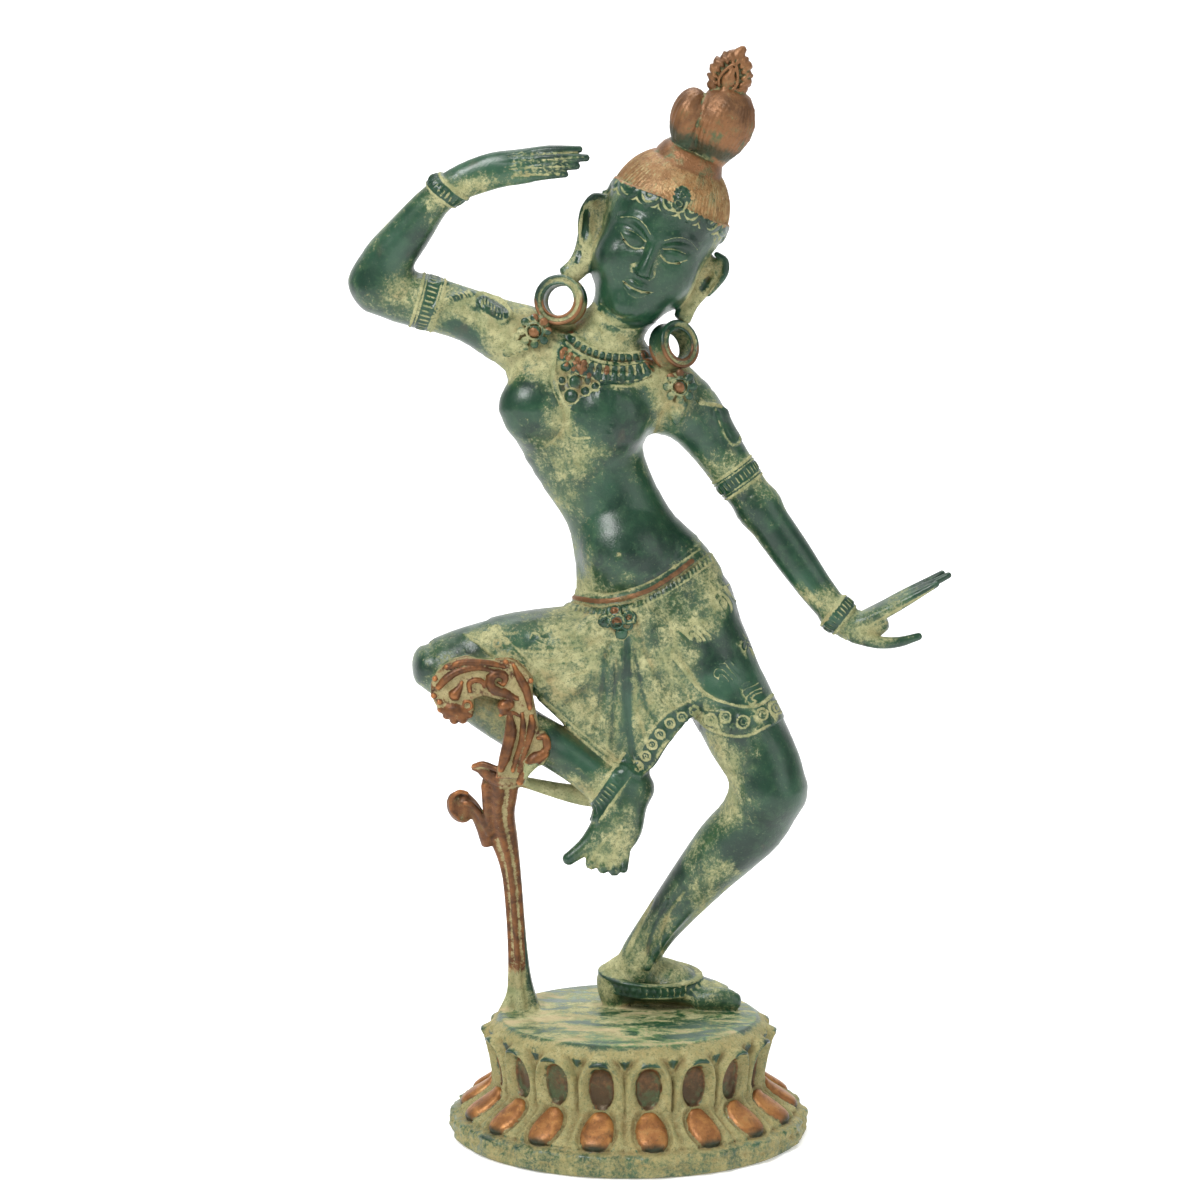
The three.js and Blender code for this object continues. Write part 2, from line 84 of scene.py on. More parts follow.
FOREARM_R = [[-89.3, 0.5, 307.3, 9.1, 9.2], [-85.6, -1, 316, 8.8, 9], [-77.6, -4, 325.8, 7.7, 7.8], [-70.3, -7, 334.9, 6.3, 6.3], [-64.6, -9, 340.5, 5.3, 5.3]]
UPPER_ARM_L = [[3.8, 7, 272.3, 12.1, 11], [13.7, 7, 267.7, 12.8, 11.5], [22.3, 7, 262, 11.1, 10.8], [30.9, 6.5, 250.6, 8.9, 9], [39.2, 6, 238.5, 7.9, 8], [46.7, 5, 228.5, 7.3, 7.4]]
FOREARM_L = [[46, 5, 229.3, 7.3, 7.4], [56.4, 3, 214.7, 7.1, 7], [65.3, 0.5, 202.1, 6.3, 6], [73.6, -1.6, 191.6, 5.6, 5.4]]
THIGH_R = [[-2.5, 5, 176.4, 17.3, 19], [-21.2, 1, 177, 16.1, 16.5], [-39.1, -2, 177.5, 13.9, 14], [-56.8, -5, 175.8, 11.4, 12.3], [-68.9, -7, 174, 8.9, 10.8], [-73.4, -8, 174.3, 6.5, 9]]
SHIN_R = [[-70.3, -7, 172.6, 7.1, 8.8], [-55, -8.5, 162, 8.5, 8.8], [-40.7, -10, 152.5, 8.5, 8.6], [-27.6, -11, 145.1, 7.8, 8], [-16.5, -12, 137.3, 7.1, 7.2], [-8.3, -12.5, 130.1, 7.1, 6.8]]
FOOT_R = [[-4.1, -12, 133.7, 8.2, 7.5], [-3, -13.5, 127.1, 8.3, 7.6], [-5.4, -15.5, 118.4, 7.8, 6.4], [-7.9, -17, 110.4, 8, 4.8], [-8.4, -17.6, 105.6, 7, 3.8]]
THIGH_L = [[19.8, 8, 188.3, 18, 19], [27.4, 5, 175.3, 16.9, 18], [35.6, 1, 160.3, 14.7, 15.6], [42.3, -3, 147.5, 14.4, 14.6], [48.3, -6, 136.8, 13.3, 13.6], [51.2, -6.5, 128.1, 12.7, 13]]
SHIN_L = [[51.2, -6.5, 128.9, 12.7, 13], [44.2, -4, 115.8, 12.6, 12.2], [34.8, -1, 105.5, 11.7, 11.4], [20.9, 4, 87.6, 9.1, 9.4], [11.6, 8, 74.5, 7.5, 7.4], [5.8, 10, 65.3, 7.2, 7.2], [2.6, 11, 58.2, 7.4, 7.4]]
PLINTH = dict(rim=65.5, lip=64.2, waist=48.4, shoulder=51.6, top=46.6, height=43.3, lipZ=8.6, waistZ=18.0, oval=0.85, petals=18, phase=math.radians(8))


# ------------------------------------------------------------------ implicit modelling
class Field:
    def __init__(self, lo, hi, h):
        self.lo = np.array(lo, float)
        self.h = h
        self.n = (np.ceil((np.array(hi) - self.lo) / h)).astype(int) + 1
        self.a = np.full(self.n, FAR, f32)

    def region(self, lo, hi):
        i0 = np.clip(np.floor((np.array(lo) - self.lo) / self.h).astype(int), 0, self.n - 2)
        i1 = np.clip(np.ceil((np.array(hi) - self.lo) / self.h).astype(int) + 1, i0 + 2, self.n)
        ax = [(self.lo[k] + self.h * np.arange(i0[k], i1[k])).astype(f32) for k in range(3)]
        sl = tuple(slice(int(i0[k]), int(i1[k])) for k in range(3))
        return sl, ax[0][:, None, None], ax[1][None, :, None], ax[2][None, None, :]

    def add(self, lo, hi, fn, k=0.0, cut=False, pad=None):
        pad = (k + 1.5) if pad is None else pad
        sl, x, y, z = self.region(np.array(lo) - pad, np.array(hi) + pad)
        d = fn(x, y, z).astype(f32)
        old = self.a[sl]
        if cut:
            d = -d
            if k > 0:
                h = np.maximum(k - np.abs(old - d), 0) / k
                self.a[sl] = np.maximum(old, d) + h * h * k * 0.25
            else:
                self.a[sl] = np.maximum(old, d)
            return
        if k > 0:
            h = np.maximum(k - np.abs(old - d), 0) / k
            self.a[sl] = np.minimum(old, d) - h * h * k * 0.25
        else:
            self.a[sl] = np.minimum(old, d)

    def mesh(self):
        """Points in millimetres and triangles of the zero surface."""
        band = 2.6 * self.h
        arr = np.clip(self.a, -band, band, out=self.a)
        grid = vdb.FloatGrid(background=band)
        grid.copyFromArray(arr, tolerance=0.0)
        pts, tris, quads = grid.convertToPolygons(isovalue=0.0, adaptivity=0.0)
        P = pts.astype(float) * self.h + self.lo
        faces = [tris] if len(tris) else []
        if len(quads):
            faces += [quads[:, [0, 1, 2]], quads[:, [0, 2, 3]]]
        F = np.concatenate(faces).astype(np.int64)
        vol = np.einsum("ij,ij->i", P[F[:, 0]], np.cross(P[F[:, 1]], P[F[:, 2]])).sum() / 6
        if vol < 0:
            F = F[:, ::-1].copy()
        return P, F


def resample(st, sub):
    """Catmull-Rom through stations, radii included."""
    S = np.array(st, float)
    E = np.vstack([2 * S[0] - S[1], S, 2 * S[-1] - S[-2]])
    E[0, 3:], E[-1, 3:] = S[0, 3:], S[-1, 3:]
    out = []
    for i in range(len(S) - 1):
        p0, p1, p2, p3 = E[i], E[i + 1], E[i + 2], E[i + 3]
        for u in np.arange(sub) / sub:
            out.append(0.5 * ((2 * p1) + (-p0 + p2) * u + (2 * p0 - 5 * p1 + 4 * p2 - p3) * u * u + (-p0 + 3 * p1 - 3 * p2 + p3) * u ** 3))
    out.append(S[-1])
    return np.array(out)


class Limb:
    """A swept elliptical form; a is the half width across the picture, b the half depth."""

    def __init__(self, st, sub=3, dome=0.55):
        self.S = resample(st, sub)
        P = self.S[:, :3]
        T = np.gradient(P, axis=0)
        T /= np.linalg.norm(T, axis=1, keepdims=True)
        A = np.cross([0, 1, 0], T)
        A /= np.linalg.norm(A, axis=1, keepdims=True)
        self.T, self.A, self.B = T, A, np.cross(T, A)
        self.dome = dome
        self.r = float(self.S[:, 3:5].max())

    def box(self):
        return self.S[:, :3].min(0) - self.r, self.S[:, :3].max(0) + self.r

    def nearest(self, x, y, z, pad):
        """Best curve parameter (in segments) for each point, and the squared distance."""
        P = self.S[:, :3]
        shape = np.broadcast_shapes(x.shape, y.shape, z.shape)
        best = np.full(shape, 1e9, f32)
        par = np.zeros(shape, f32)
        grid = len(shape) == 3 and x.shape[1:] == (1, 1)
        for i in range(len(P) - 1):
            a, b = P[i], P[i + 1]
            sl = (Ellipsis,)
            X, Yy, Z = x, y, z
            if grid:
                R = max(self.S[i, 3:5].max(), self.S[i + 1, 3:5].max()) + pad
                lo, hi = np.minimum(a, b) - R, np.maximum(a, b) + R
                ix = np.searchsorted(x[:, 0, 0], [lo[0], hi[0]])
                iy = np.searchsorted(y[0, :, 0], [lo[1], hi[1]])
                iz = np.searchsorted(z[0, 0, :], [lo[2], hi[2]])
                if ix[0] >= ix[1] or iy[0] >= iy[1] or iz[0] >= iz[1]:
                    continue
                sl = (slice(*ix), slice(*iy), slice(*iz))
                X, Yy, Z = x[sl[0]], y[:, sl[1]], z[:, :, sl[2]]
            d = b - a
            L2 = float(d @ d)
            s = ((X - a[0]) * d[0] + (Yy - a[1]) * d[1] + (Z - a[2]) * d[2]) / L2
            lo_s = -1.0 if i == 0 else 0.0
            hi_s = 2.0 if i == len(P) - 2 else 1.0
            s = np.clip(s, 0.0, 1.0)
            q = (X - a[0] - s * d[0]) ** 2 + (Yy - a[1] - s * d[1]) ** 2 + (Z - a[2] - s * d[2]) ** 2
            old = best[sl]
            m = q < old
            best[sl] = np.where(m, q, old)
            par[sl] = np.where(m, i + s, par[sl])
        return par, best

    def local(self, x, y, z, par):
        i = np.clip(par.astype(int), 0, len(self.S) - 2)
        u = (par - i)[..., None]
        mix = lambda M: M[i] * (1 - u) + M[i + 1] * u
        S = mix(self.S)
        T, A, B = mix(self.T), mix(self.A), mix(self.B)
        v = np.stack([x - S[..., 0], y - S[..., 1], z - S[..., 2]], -1)
        return (v * A).sum(-1), (v * B).sum(-1), (v * T).sum(-1), S[..., 3], S[..., 4]

    def sdf(self, x, y, z, pad=4.0):
        par, best = self.nearest(x, y, z, pad)
        out = np.full(best.shape, FAR, f32)
        m = best < (self.r + pad) ** 2
        if m.any():
            X, Yy, Z = (np.broadcast_to(q, best.shape)[m] for q in (x, y, z))
            a_, b_, w, a, b = self.local(X, Yy, Z, par[m])
            c = np.minimum(a, b) * self.dome + 1e-3
            k0 = np.sqrt((a_ / a) ** 2 + (b_ / b) ** 2 + (w / c) ** 2)
            k1 = np.sqrt((a_ / a ** 2) ** 2 + (b_ / b ** 2) ** 2 + (w / c ** 2) ** 2) + 1e-6
            out[m] = np.clip(k0 * (k0 - 1) / k1, -FAR, FAR)
        return out


def put_limb(F, st, k=2.0, sub=3, dome=0.55, cut=False):
    L = Limb(st, sub, dome)
    lo, hi = L.box()
    F.add(lo, hi, lambda x, y, z: L.sdf(x, y, z, pad=k + 1.5), k, cut)
    return L


def basis(z, x=None):
    z = np.array(z, float)
    z /= np.linalg.norm(z)
    if x is None:
        x = np.cross([0, 1, 0], z)
        if np.linalg.norm(x) < 1e-3:
            x = np.array([1.0, 0, 0])
    x = np.array(x, float)
    x -= z * (x @ z)
    x /= np.linalg.norm(x)
    return np.array([x, np.cross(z, x), z])


def turned(fn, c, M):
    c = np.array(c, float)

    def g(x, y, z):
        X, Yy, Z = x - c[0], y - c[1], z - c[2]
        return fn(*(M[i][0] * X + M[i][1] * Yy + M[i][2] * Z for i in range(3)))

    return g


def ellipsoid(r):
    a, b, c = r

    def g(x, y, z):
        k0 = np.sqrt((x / a) ** 2 + (y / b) ** 2 + (z / c) ** 2)
        k1 = np.sqrt((x / a ** 2) ** 2 + (y / b ** 2) ** 2 + (z / c ** 2) ** 2) + 1e-6
        return np.clip(k0 * (k0 - 1) / k1, -FAR, FAR)

    return g


def put_ball(F, c, r, k=1.0, M=None, cut=False):
    M = np.eye(3) if M is None else M
    R = max(r)
    ext = np.sqrt(((np.array(M) * np.array(r)[:, None]) ** 2).sum(0))
    F.add(np.array(c) - ext, np.array(c) + ext, turned(ellipsoid(r), c, M), k, cut)


def put_tube(F, pts, r, k=0.6, sub=3, cut=False):
    """A round cord through points; r is one radius or one per point."""
    r = [r] * len(pts) if np.isscalar(r) else r
    return put_limb(F, [[*p, q, q] for p, q in zip(pts, r)], k, sub, 0.95, cut)


def put_ring(F, c, axis, R, thick, half, k=0.4, stretch=(1, 1), soft=0.5):
    """A band round an axis: R to the middle of its wall, thick the half wall, half the half height."""
    M = basis(axis)

    def g(x, y, z):
        q = np.sqrt((x / stretch[0]) ** 2 + (y / stretch[1]) ** 2)
        s = min(stretch)
        dr, dz = np.abs(q - R) * s - (thick - soft), np.abs(z) - (half - soft)
        return np.sqrt(np.maximum(dr, 0) ** 2 + np.maximum(dz, 0) ** 2) + np.minimum(np.maximum(dr, dz), 0) - soft

    e = (R * max(stretch) + thick + half)
    F.add(np.array(c) - e, np.array(c) + e, turned(g, c, M), k)


# ------------------------------------------------------------------ the figure
say("figure")
F = Field((-104, -59, -2), (118, 59, 396), H)

LIMBS = {}
LIMBS["torso"] = put_limb(F, TORSO, 0, 3)
LIMBS["arm_r"] = put_limb(F, UPPER_ARM_R, 7)
LIMBS["arm_l"] = put_limb(F, UPPER_ARM_L, 8)
LIMBS["thigh_r"] = put_limb(F, THIGH_R, 7)
LIMBS["thigh_l"] = put_limb(F, THIGH_L, 7)
LIMBS["fore_r"] = put_limb(F, FOREARM_R, 4)
LIMBS["fore_l"] = put_limb(F, FOREARM_L, 4)
LIMBS["shin_l"] = put_limb(F, SHIN_L, 5)
# shoulders, chest, seat, knees
put_ball(F, (-31, 6, 281), (11, 10, 9), 8)
put_ball(F, (9, 6.5, 272), (10, 9.5, 10), 8)
put_ball(F, (-33.9, -3.6, 264.6), (11.6, 9.4, 12.0), 7)
put_ball(F, (-7.2, -4.4, 261.4), (12.4, 9.7, 12.5), 7)
put_ball(F, (-4, 14.5, 182), (16, 13, 16), 6)
put_ball(F, (21, 14.5, 188), (16.5, 13, 16.5), 6)
put_ball(F, (-27, 15, 274), (8, 5, 11), 6)
put_ball(F, (0, 15, 268), (8, 5, 11), 6)
put_ball(F, (49.4, -12.5, 128.4), (8, 7, 9), 6)
put_ball(F, (-2, -5.6, 214), (13, 7.5, 11), 8)
# furrow of the spine
put_tube(F, [(-2, 21.6, 290), (-10, 21.8, 272), (-14, 21.2, 254), (-10, 21.0, 236), (-3, 23.2, 218), (3, 26.4, 203)], 2.6, 4, 3, True)
# elbow tip
put_ball(F, (-89.6, 1.4, 308.4), (8.6, 8.4, 8.6), 4)
# calf swelling
put_ball(F, (40.8, 4.5, 108), (8.8, 8, 15), 6, basis((0.62, 0, 0.78)))

say("hands")


def finger(F, a, b, c, r0, r1, k=0.7):
    put_tube(F, [a, b, c], [r0, (r0 + r1) / 2 + 0.15, r1], k)


def hand_r(F):
    put_limb(F, [[-65.4, -9, 340.3, 5.3, 5], [-57, -10, 344.6, 5.8, 4.3], [-47, -12, 347.8, 6.2, 3.4], [-38, -13.4, 349.0, 5.9, 2.9], [-34.5, -13.8, 349.2, 5.6, 2.5]], 3)
    finger(F, (-39, -12.6, 353), (-28, -14.2, 354.6), (-17.6, -15.2, 354.9), 1.9, 1.25)
    finger(F, (-39, -14, 350.4), (-27, -15.6, 352), (-15.2, -16.4, 352), 1.95, 1.3)
    finger(F, (-39, -14.2, 347.2), (-29, -15.8, 348.8), (-18.4, -16.6, 349.2), 1.9, 1.25)
    finger(F, (-40, -13.6, 344.6), (-31, -15, 345.9), (-22.4, -15.8, 346.4), 1.8, 1.15)
    put_tube(F, [(-60, -11.4, 340.2), (-50, -10.4, 343.2), (-41, -10.6, 344.8), (-36, -11.4, 345.4)], [2.8, 2.3, 1.8, 1.3], 1.5)


def hand_l(F):
    put_limb(F, [[73.6, -1.6, 191.6, 5.6, 5.2], [79.4, -2.6, 187.4, 5.9, 4.6], [85.4, -3.4, 186.8, 5.3, 4.4], [90, -4, 189, 3.8, 4]], 3)
    finger(F, (79, -4.4, 186.2), (95.5, -8.8, 195.6), (108.4, -10.4, 203.2), 2.7, 1.15, 1.6)
    finger(F, (81, -3.6, 187.6), (98, -6.4, 197.8), (113, -7.4, 206.0), 2.7, 1.15, 1.2)
    finger(F, (82, -1.6, 188.4), (97.5, -3.4, 198.2), (111.2, -4, 206.2), 2.6, 1.15, 1.2)
    finger(F, (81, 0.6, 188.2), (95, -0.2, 196.2), (106.4, -0.8, 203.0), 2.4, 1.1, 1.2)
    put_tube(F, [(80, -6.2, 184), (88, -7.8, 182.0), (95.5, -8.6, 182.2), (102.6, -8.6, 184.2)], [2.6, 2.3, 1.9, 1.4], 1.2)


hand_r(F)
hand_l(F)

say("feet")
LIMBS["shin_r"] = put_limb(F, SHIN_R, 3)
LIMBS["foot_r"] = put_limb(F, FOOT_R, 3)
put_ball(F, (2.6, -10, 129.6), (6.4, 6.8, 6.2), 4)
put_ball(F, (-1.2, -12.6, 119), (6, 6.6, 10), 5)


def toes_hanging(F):
    put_tube(F, [(-10.6, -16.4, 116), (-16.0, -17.9, 110.0), (-21.6, -18.8, 105.8)], [3.3, 2.9, 2.3], 1.6)
    for x, z, r in [(-13.4, 104.4, 2.35), (-9.3, 102.9, 2.3), (-5.4, 101.9, 2.2), (-2.2, 102.4, 1.7)]:
        put_tube(F, [(x + 1.4, -17.0, z + 8), (x + 0.4, -19.0, z + 3), (x, -19.6, z)], [r * 0.9, r, r * 0.98], 0.5)
        put_ball(F, (x, -20.6, z + 0.6), (r * 0.7, 1.6, r * 0.95), 0.3)


toes_hanging(F)
FOOT_L = put_limb(F, [[-5.6, 13, 49.6, 6.6, 7], [-2, 13, 52, 8.6, 7.6], [6, 13, 52.6, 9.6, 8], [14, 12.5, 51.6, 8.2, 8.4], [23, 11.8, 49, 6.2, 8.6], [31, 11.4, 47.6, 4.8, 8.2], [35, 11.2, 46.6, 4.0, 7.6]], 3)
LIMBS["foot_l"] = FOOT_L
put_ball(F, (-4.6, 12.4, 50), (6.6, 8, 9.6), 3)
put_limb(F, [[26, 4.8, 47.2, 3.6, 3.4], [32, 4.2, 47.6, 4.4, 3.6], [36.6, 4.0, 47.2, 4.2, 3.4], [38.6, 4.0, 46.8, 3.4, 3.0]], 1.2, 3, 0.9)
for i, y in enumerate([8.8, 12.2, 15.2, 17.8]):
    put_tube(F, [(27 - i * 1.4, y, 47), (33 - i * 1.4, y, 47.6 - i * 0.2), (37.4 - i * 1.6, y, 46)], [2.1 - i * 0.12, 2.5 - i * 0.15, 2.1 - i * 0.12], 0.6)
# muscle and tendon of the shin
put_tube(F, [(22, -4, 84), (13, -0.6, 72), (7, 2.2, 60)], [1.2, 1.6, 1.2], 3.0)


# ------------------------------------------------------------------ head
say("head")
LEAN, NOD = math.radians(22.5), math.radians(12)
UP = np.array([math.sin(LEAN) * math.cos(NOD), -math.sin(NOD), math.cos(LEAN) * math.cos(NOD)])
RIGHT = np.array([math.cos(LEAN), 0, -math.sin(LEAN)])
BACK = np.cross(UP, RIGHT)
BACK /= np.linalg.norm(BACK)
RIGHT = np.cross(BACK, UP)
HC = np.array([10.2, 1.5, 325.2])
MH = np.array([RIGHT, BACK, UP])
MID = -0.6  # the face's middle line


def hp(x, y, z):
    return HC + RIGHT * x + BACK * y + UP * z


def hball(F, x, y, z, r, k=2.0, M=None, cut=False):
    put_ball(F, hp(x, y, z), r, k, MH if M is None else M @ MH, cut)


def htube(F, pts, r, k=0.8, cut=False):
    put_tube(F, [hp(*p) for p in pts], r, k, 3, cut)


def rot(axis, deg):
    a = math.radians(deg)
    c, s = math.cos(a), math.sin(a)
    return np.array({"x": [[1, 0, 0], [0, c, s], [0, -s, c]], "y": [[c, 0, -s], [0, 1, 0], [s, 0, c]], "z": [[c, s, 0], [-s, c, 0], [0, 0, 1]]}[axis])


G = F
hball(G, -0.4, 2.2, 8.2, (21.0, 22.2, 21.4), 0)
hball(G, MID, -3.2, -9, (17.2, 16.6, 20.4), 7)
hball(G, MID, -9.5, -21.5, (8.6, 9.0, 7.6), 7)
for s in (-1, 1):
    hball(G, MID + s * 9.2, -11.2, -8.5, (7.4, 6.6, 8.6), 6)  # cheeks
    hball(G, MID + s * 13.4, 1, -13, (4.6, 9, 8), 6)  # jaw
    hball(G, MID + s * 7.8, -20.6, 0.4, (5.4, 3.2, 3.2), 3.0, None, True)  # sockets
    hball(G, MID + s * 7.7, -15.5, -0.5, (5.6, 3.7, 3.1), 1.0)  # lids
    brow = [(MID + s * 2.6, -19.2, 3.4), (MID + s * 6.4, -19.2, 6.2), (MID + s * 10.6, -17.2, 6.3), (MID + s * 14.6, -13.4, 3.6)]
    htube(G, brow, [0.9, 1.1, 1.0, 0.7], 2.4)
    hball(G, MID + s * 2.5, -18.6, -9.7, (1.8, 2.2, 1.7), 0.9)  # wings of the nose
put_limb(G, [[*hp(MID, -18.0, 3.6), 1.5, 2.0], [*hp(MID, -19.4, -1.5), 1.5, 2.2], [*hp(MID, -21.0, -6.5), 1.9, 2.3], [*hp(MID, -21.9, -9.4), 2.2, 2.1]], 1.8, 3, 0.8)
# lips
htube(G, [(MID - 4.6, -17.2, -15.2), (MID - 2.0, -19.4, -14.7), (MID, -19.6, -15.1), (MID + 2.0, -19.4, -14.7), (MID + 4.6, -17.2, -15.2)], [0.5, 1.15, 1.1, 1.15, 0.5], 1.0)
htube(G, [(MID - 3.9, -17.2, -16.7), (MID - 1.6, -18.9, -17.5), (MID + 1.6, -18.9, -17.5), (MID + 3.9, -17.2, -16.7)], [0.5, 1.25, 1.25, 0.5], 1.0)
htube(G, [(MID - 5.2, -18.2, -15.7), (MID - 2.6, -20.0, -16.1), (MID, -20.4, -16.2), (MID + 2.6, -20.0, -16.1), (MID + 5.2, -18.2, -15.7)], 0.32, 0.3, True)
hball(G, MID, -17.2, -23.6, (4.6, 3.6, 3.8), 3.5)
for s in (-1, 1):  # the line of the closed lids
    htube(G, [(MID + s * 3.2, -20.4, -1.6), (MID + s * 6.0, -20.2, -3.0), (MID + s * 9.4, -18.6, -2.6), (MID + s * 12.4, -15.6, -0.8)], [0.3, 0.42, 0.42, 0.3], 0.2, True)
    htube(G, [(MID + s * 3.4, -19.8, 0.6), (MID + s * 7.0, -20.0, 2.0), (MID + s * 11.2, -17.4, 1.6)], [0.25, 0.34, 0.25], 0.2, True)
hball(G, MID, -21.6, 5.6, (1.0, 0.9, 1.0), 0.2)
# hair: a close cap, the copper band, the two-lobed bun
hball(G, -0.4, 3.0, 9.6, (21.4, 22.0, 21.6), 1.0)


def put_revolved(F, pts, c, M, k, yscale=1.0, cut=False):
    """A turned form: pts are (radius, height), the section is scaled in depth."""
    R = np.array(pts, float)

    def g(x, y, z):
        q = np.sqrt(x ** 2 + (y / yscale) ** 2)
        d = np.full(q.shape, 1e9, f32)
        inside = np.zeros(q.shape, bool)
        n = len(R)
        for i in range(n):
            a, b = R[i], R[(i + 1) % n]
            e = b - a
            s = np.clip(((q - a[0]) * e[0] + (z - a[1]) * e[1]) / (e @ e + 1e-9), 0, 1)
            d = np.minimum(d, (q - a[0] - s * e[0]) ** 2 + (z - a[1] - s * e[1]) ** 2)
            cond = ((a[1] > z) != (b[1] > z)) & (q < (b[0] - a[0]) * (z - a[1]) / (b[1] - a[1] + 1e-12) + a[0])
            inside ^= cond
        d = np.sqrt(d)
        return np.clip(np.where(inside, -d, d), -FAR, FAR)

    e = np.abs(R).max() + 1
    F.add(np.array(c) - e, np.array(c) + e, turned(g, c, M), k, cut)


put_revolved(G, [(0, 26.6), (12.2, 26.6), (12.5, 27.6), (11.3, 30.6), (10.0, 32.2), (0, 32.2)], hp(-1.5, 3.2, 0), rot("y", 3) @ MH, 0.5, 1.0)
bun_tilt = rot("y", 4) @ MH
BUN = [(0, 31.0), (7.4, 31.4), (8.4, 34.0), (10.4, 38.5), (11.5, 43.5), (11.0, 48.5), (8.4, 53.4), (5.4, 56.6), (0, 57.8)]
put_revolved(G, BUN, hp(1.9, 3.8, 0), rot("y", 4) @ MH, 0.8, 0.98)
put_ball(G, hp(-6.6, 3.2, 43.0), (6.2, 9.0, 9.3), 0.6, rot("y", -4) @ MH)
put_limb(G, [[*hp(-3.0, 1.4, 33.0), 5.0, 6.0], [*hp(-5.8, 1.6, 38.5), 5.6, 7.6], [*hp(-6.8, 2.6, 43.2), 5.6, 8.0]], 0.6)
# flame finial: leaf lobes round a drop
FIN = hp(1.4, 3.4, 60.8)
MF = rot("y", -2) @ MH


def fin(x, y, z, r, k=0.5, turn=0.0):
    put_ball(G, FIN + MF[0] * x + MF[1] * y + MF[2] * z, r, k, rot("y", turn) @ MF)


fin(0, 0.6, -0.6, (5.9, 2.9, 7.4), 1.0)
fin(-0.4, 0, -8.0, (4.4, 3.2, 3.2), 1.2)
for i in range(13):  # the crumpled rim of the leaf
    a = -132 + 22 * i
    t, big = math.radians(a), 1.0 + 0.18 * math.cos(i * 2.4)
    fin(5.9 * math.sin(t), -0.2, 7.2 * math.cos(t) - 0.4, (1.55 * big, 2.3, 1.9 * big), 0.35, a * 0.7)
    fin(5.0 * math.sin(t + 0.16), -2.1, 6.2 * math.cos(t + 0.16) - 0.5, (0.75, 0.9, 1.3), 0.25, a * 0.7)
    fin(7.2 * math.sin(t + 0.1), 0.4, 8.5 * math.cos(t + 0.1) - 0.4, (0.8, 1.1, 0.9), 0.3, a * 0.7)
fin(0.2, 0, 8.0, (2.1, 2.0, 2.2), 0.5)
fin(0.8, 0, 9.6, (1.5, 1.5, 1.5), 0.5)
put_tube(G, [FIN + MF[0] * x + MF[1] * y + MF[2] * z for x, y, z in [(-2.4, -2.9, -4.4), (-3.3, -2.9, -1.6), (-2.2, -3.1, 1.8), (0.1, -2.9, 4.6), (2.3, -3.1, 1.6), (3.2, -2.9, -1.8), (2.3, -2.9, -4.4)]], 0.55, 0.3)
fin(0, -2.5, -1.4, (2.4, 1.7, 3.2), 0.2)
fin(0, -2.7, 1.2, (1.2, 1.2, 2.2), 0.5)
fin(0, -3.2, -4.9, (1.5, 1.1, 1.3), 0.2)

# ears: a hollow shell above, a long lobe down to the hoop
put_limb(G, [[-9.4, 5, 337.0, 2.4, 2.6], [-13.0, 3.6, 333.6, 4.0, 2.6], [-14.0, 2.8, 327.6, 4.0, 2.6], [-15.6, 1.6, 320, 3.8, 2.6], [-18.0, 0.4, 314.6, 4.0, 2.6], [-22.0, -0.6, 311, 3.8, 2.6]], 2.0)
put_ball(G, (-7.4, 5.6, 329.0), (7.4, 4.6, 11.0), 3.0)
put_ball(G, (-13.2, 0.2, 330.4), (1.9, 2.0, 4.8), 0.8, None, True)
put_tube(G, [(-8.8, 2.6, 338.4), (-12.6, 1.8, 338.6), (-16.0, 1.4, 334.6), (-17.2, 1.0, 328.6), (-17.0, 0.8, 323)], [1.2, 1.4, 1.3, 1.2, 0.9], 0.7)
put_limb(G, [[31.8, 5, 315.6, 2.4, 2.6], [29.6, 4.4, 311.4, 3.6, 2.2], [25.2, 3.8, 306.2, 3.2, 2.0], [21.6, 2.6, 301.4, 2.7, 2.0], [18.6, 1.0, 296.4, 3.2, 2.4]], 1.5)
put_ball(G, (26.8, 6.4, 312.6), (4.6, 3.6, 6.4), 2.0)
put_ball(G, (28.0, 1.6, 311.6), (1.7, 1.9, 3.0), 0.8, basis((0.5, 0, 1)), True)
put_tube(G, [(30.6, 3.2, 318.6), (33.6, 2.8, 316.4), (33.6, 2.6, 312), (30.6, 2.4, 307.6), (27.8, 2.4, 304.4)], [1.0, 1.2, 1.2, 1.0, 0.7], 0.7)


def hoop(c, yaw, roll, R=7.1, depth=3.0):
    ax = rot("x", 0).T @ np.array([math.sin(math.radians(yaw)) * math.cos(math.radians(roll)), -math.cos(math.radians(yaw)) * math.cos(math.radians(roll)), math.sin(math.radians(roll))])
    put_ring(G, c, ax, R, 1.35, depth, 0.3, (1, 1), 0.6)
    M = basis(ax)
    for s in (-1, 1):  # raised edges of the hoop
        cc = np.array(c) + M[2] * s * (depth + 0.1)
        put_ring(G, cc, ax, R + 1.15, 0.62, 0.8, 0.12, (1, 1), 0.55)
        put_ring(G, cc, ax, R - 1.15, 0.5, 0.7, 0.12, (1, 1), 0.45)


HOOP_L, HOOP_R = (-24.2, -2.4, 302.6), (15.6, -2.2, 286.8)
hoop(HOOP_L, -14, 8)
hoop(HOOP_R, 40, 14, 6.9)


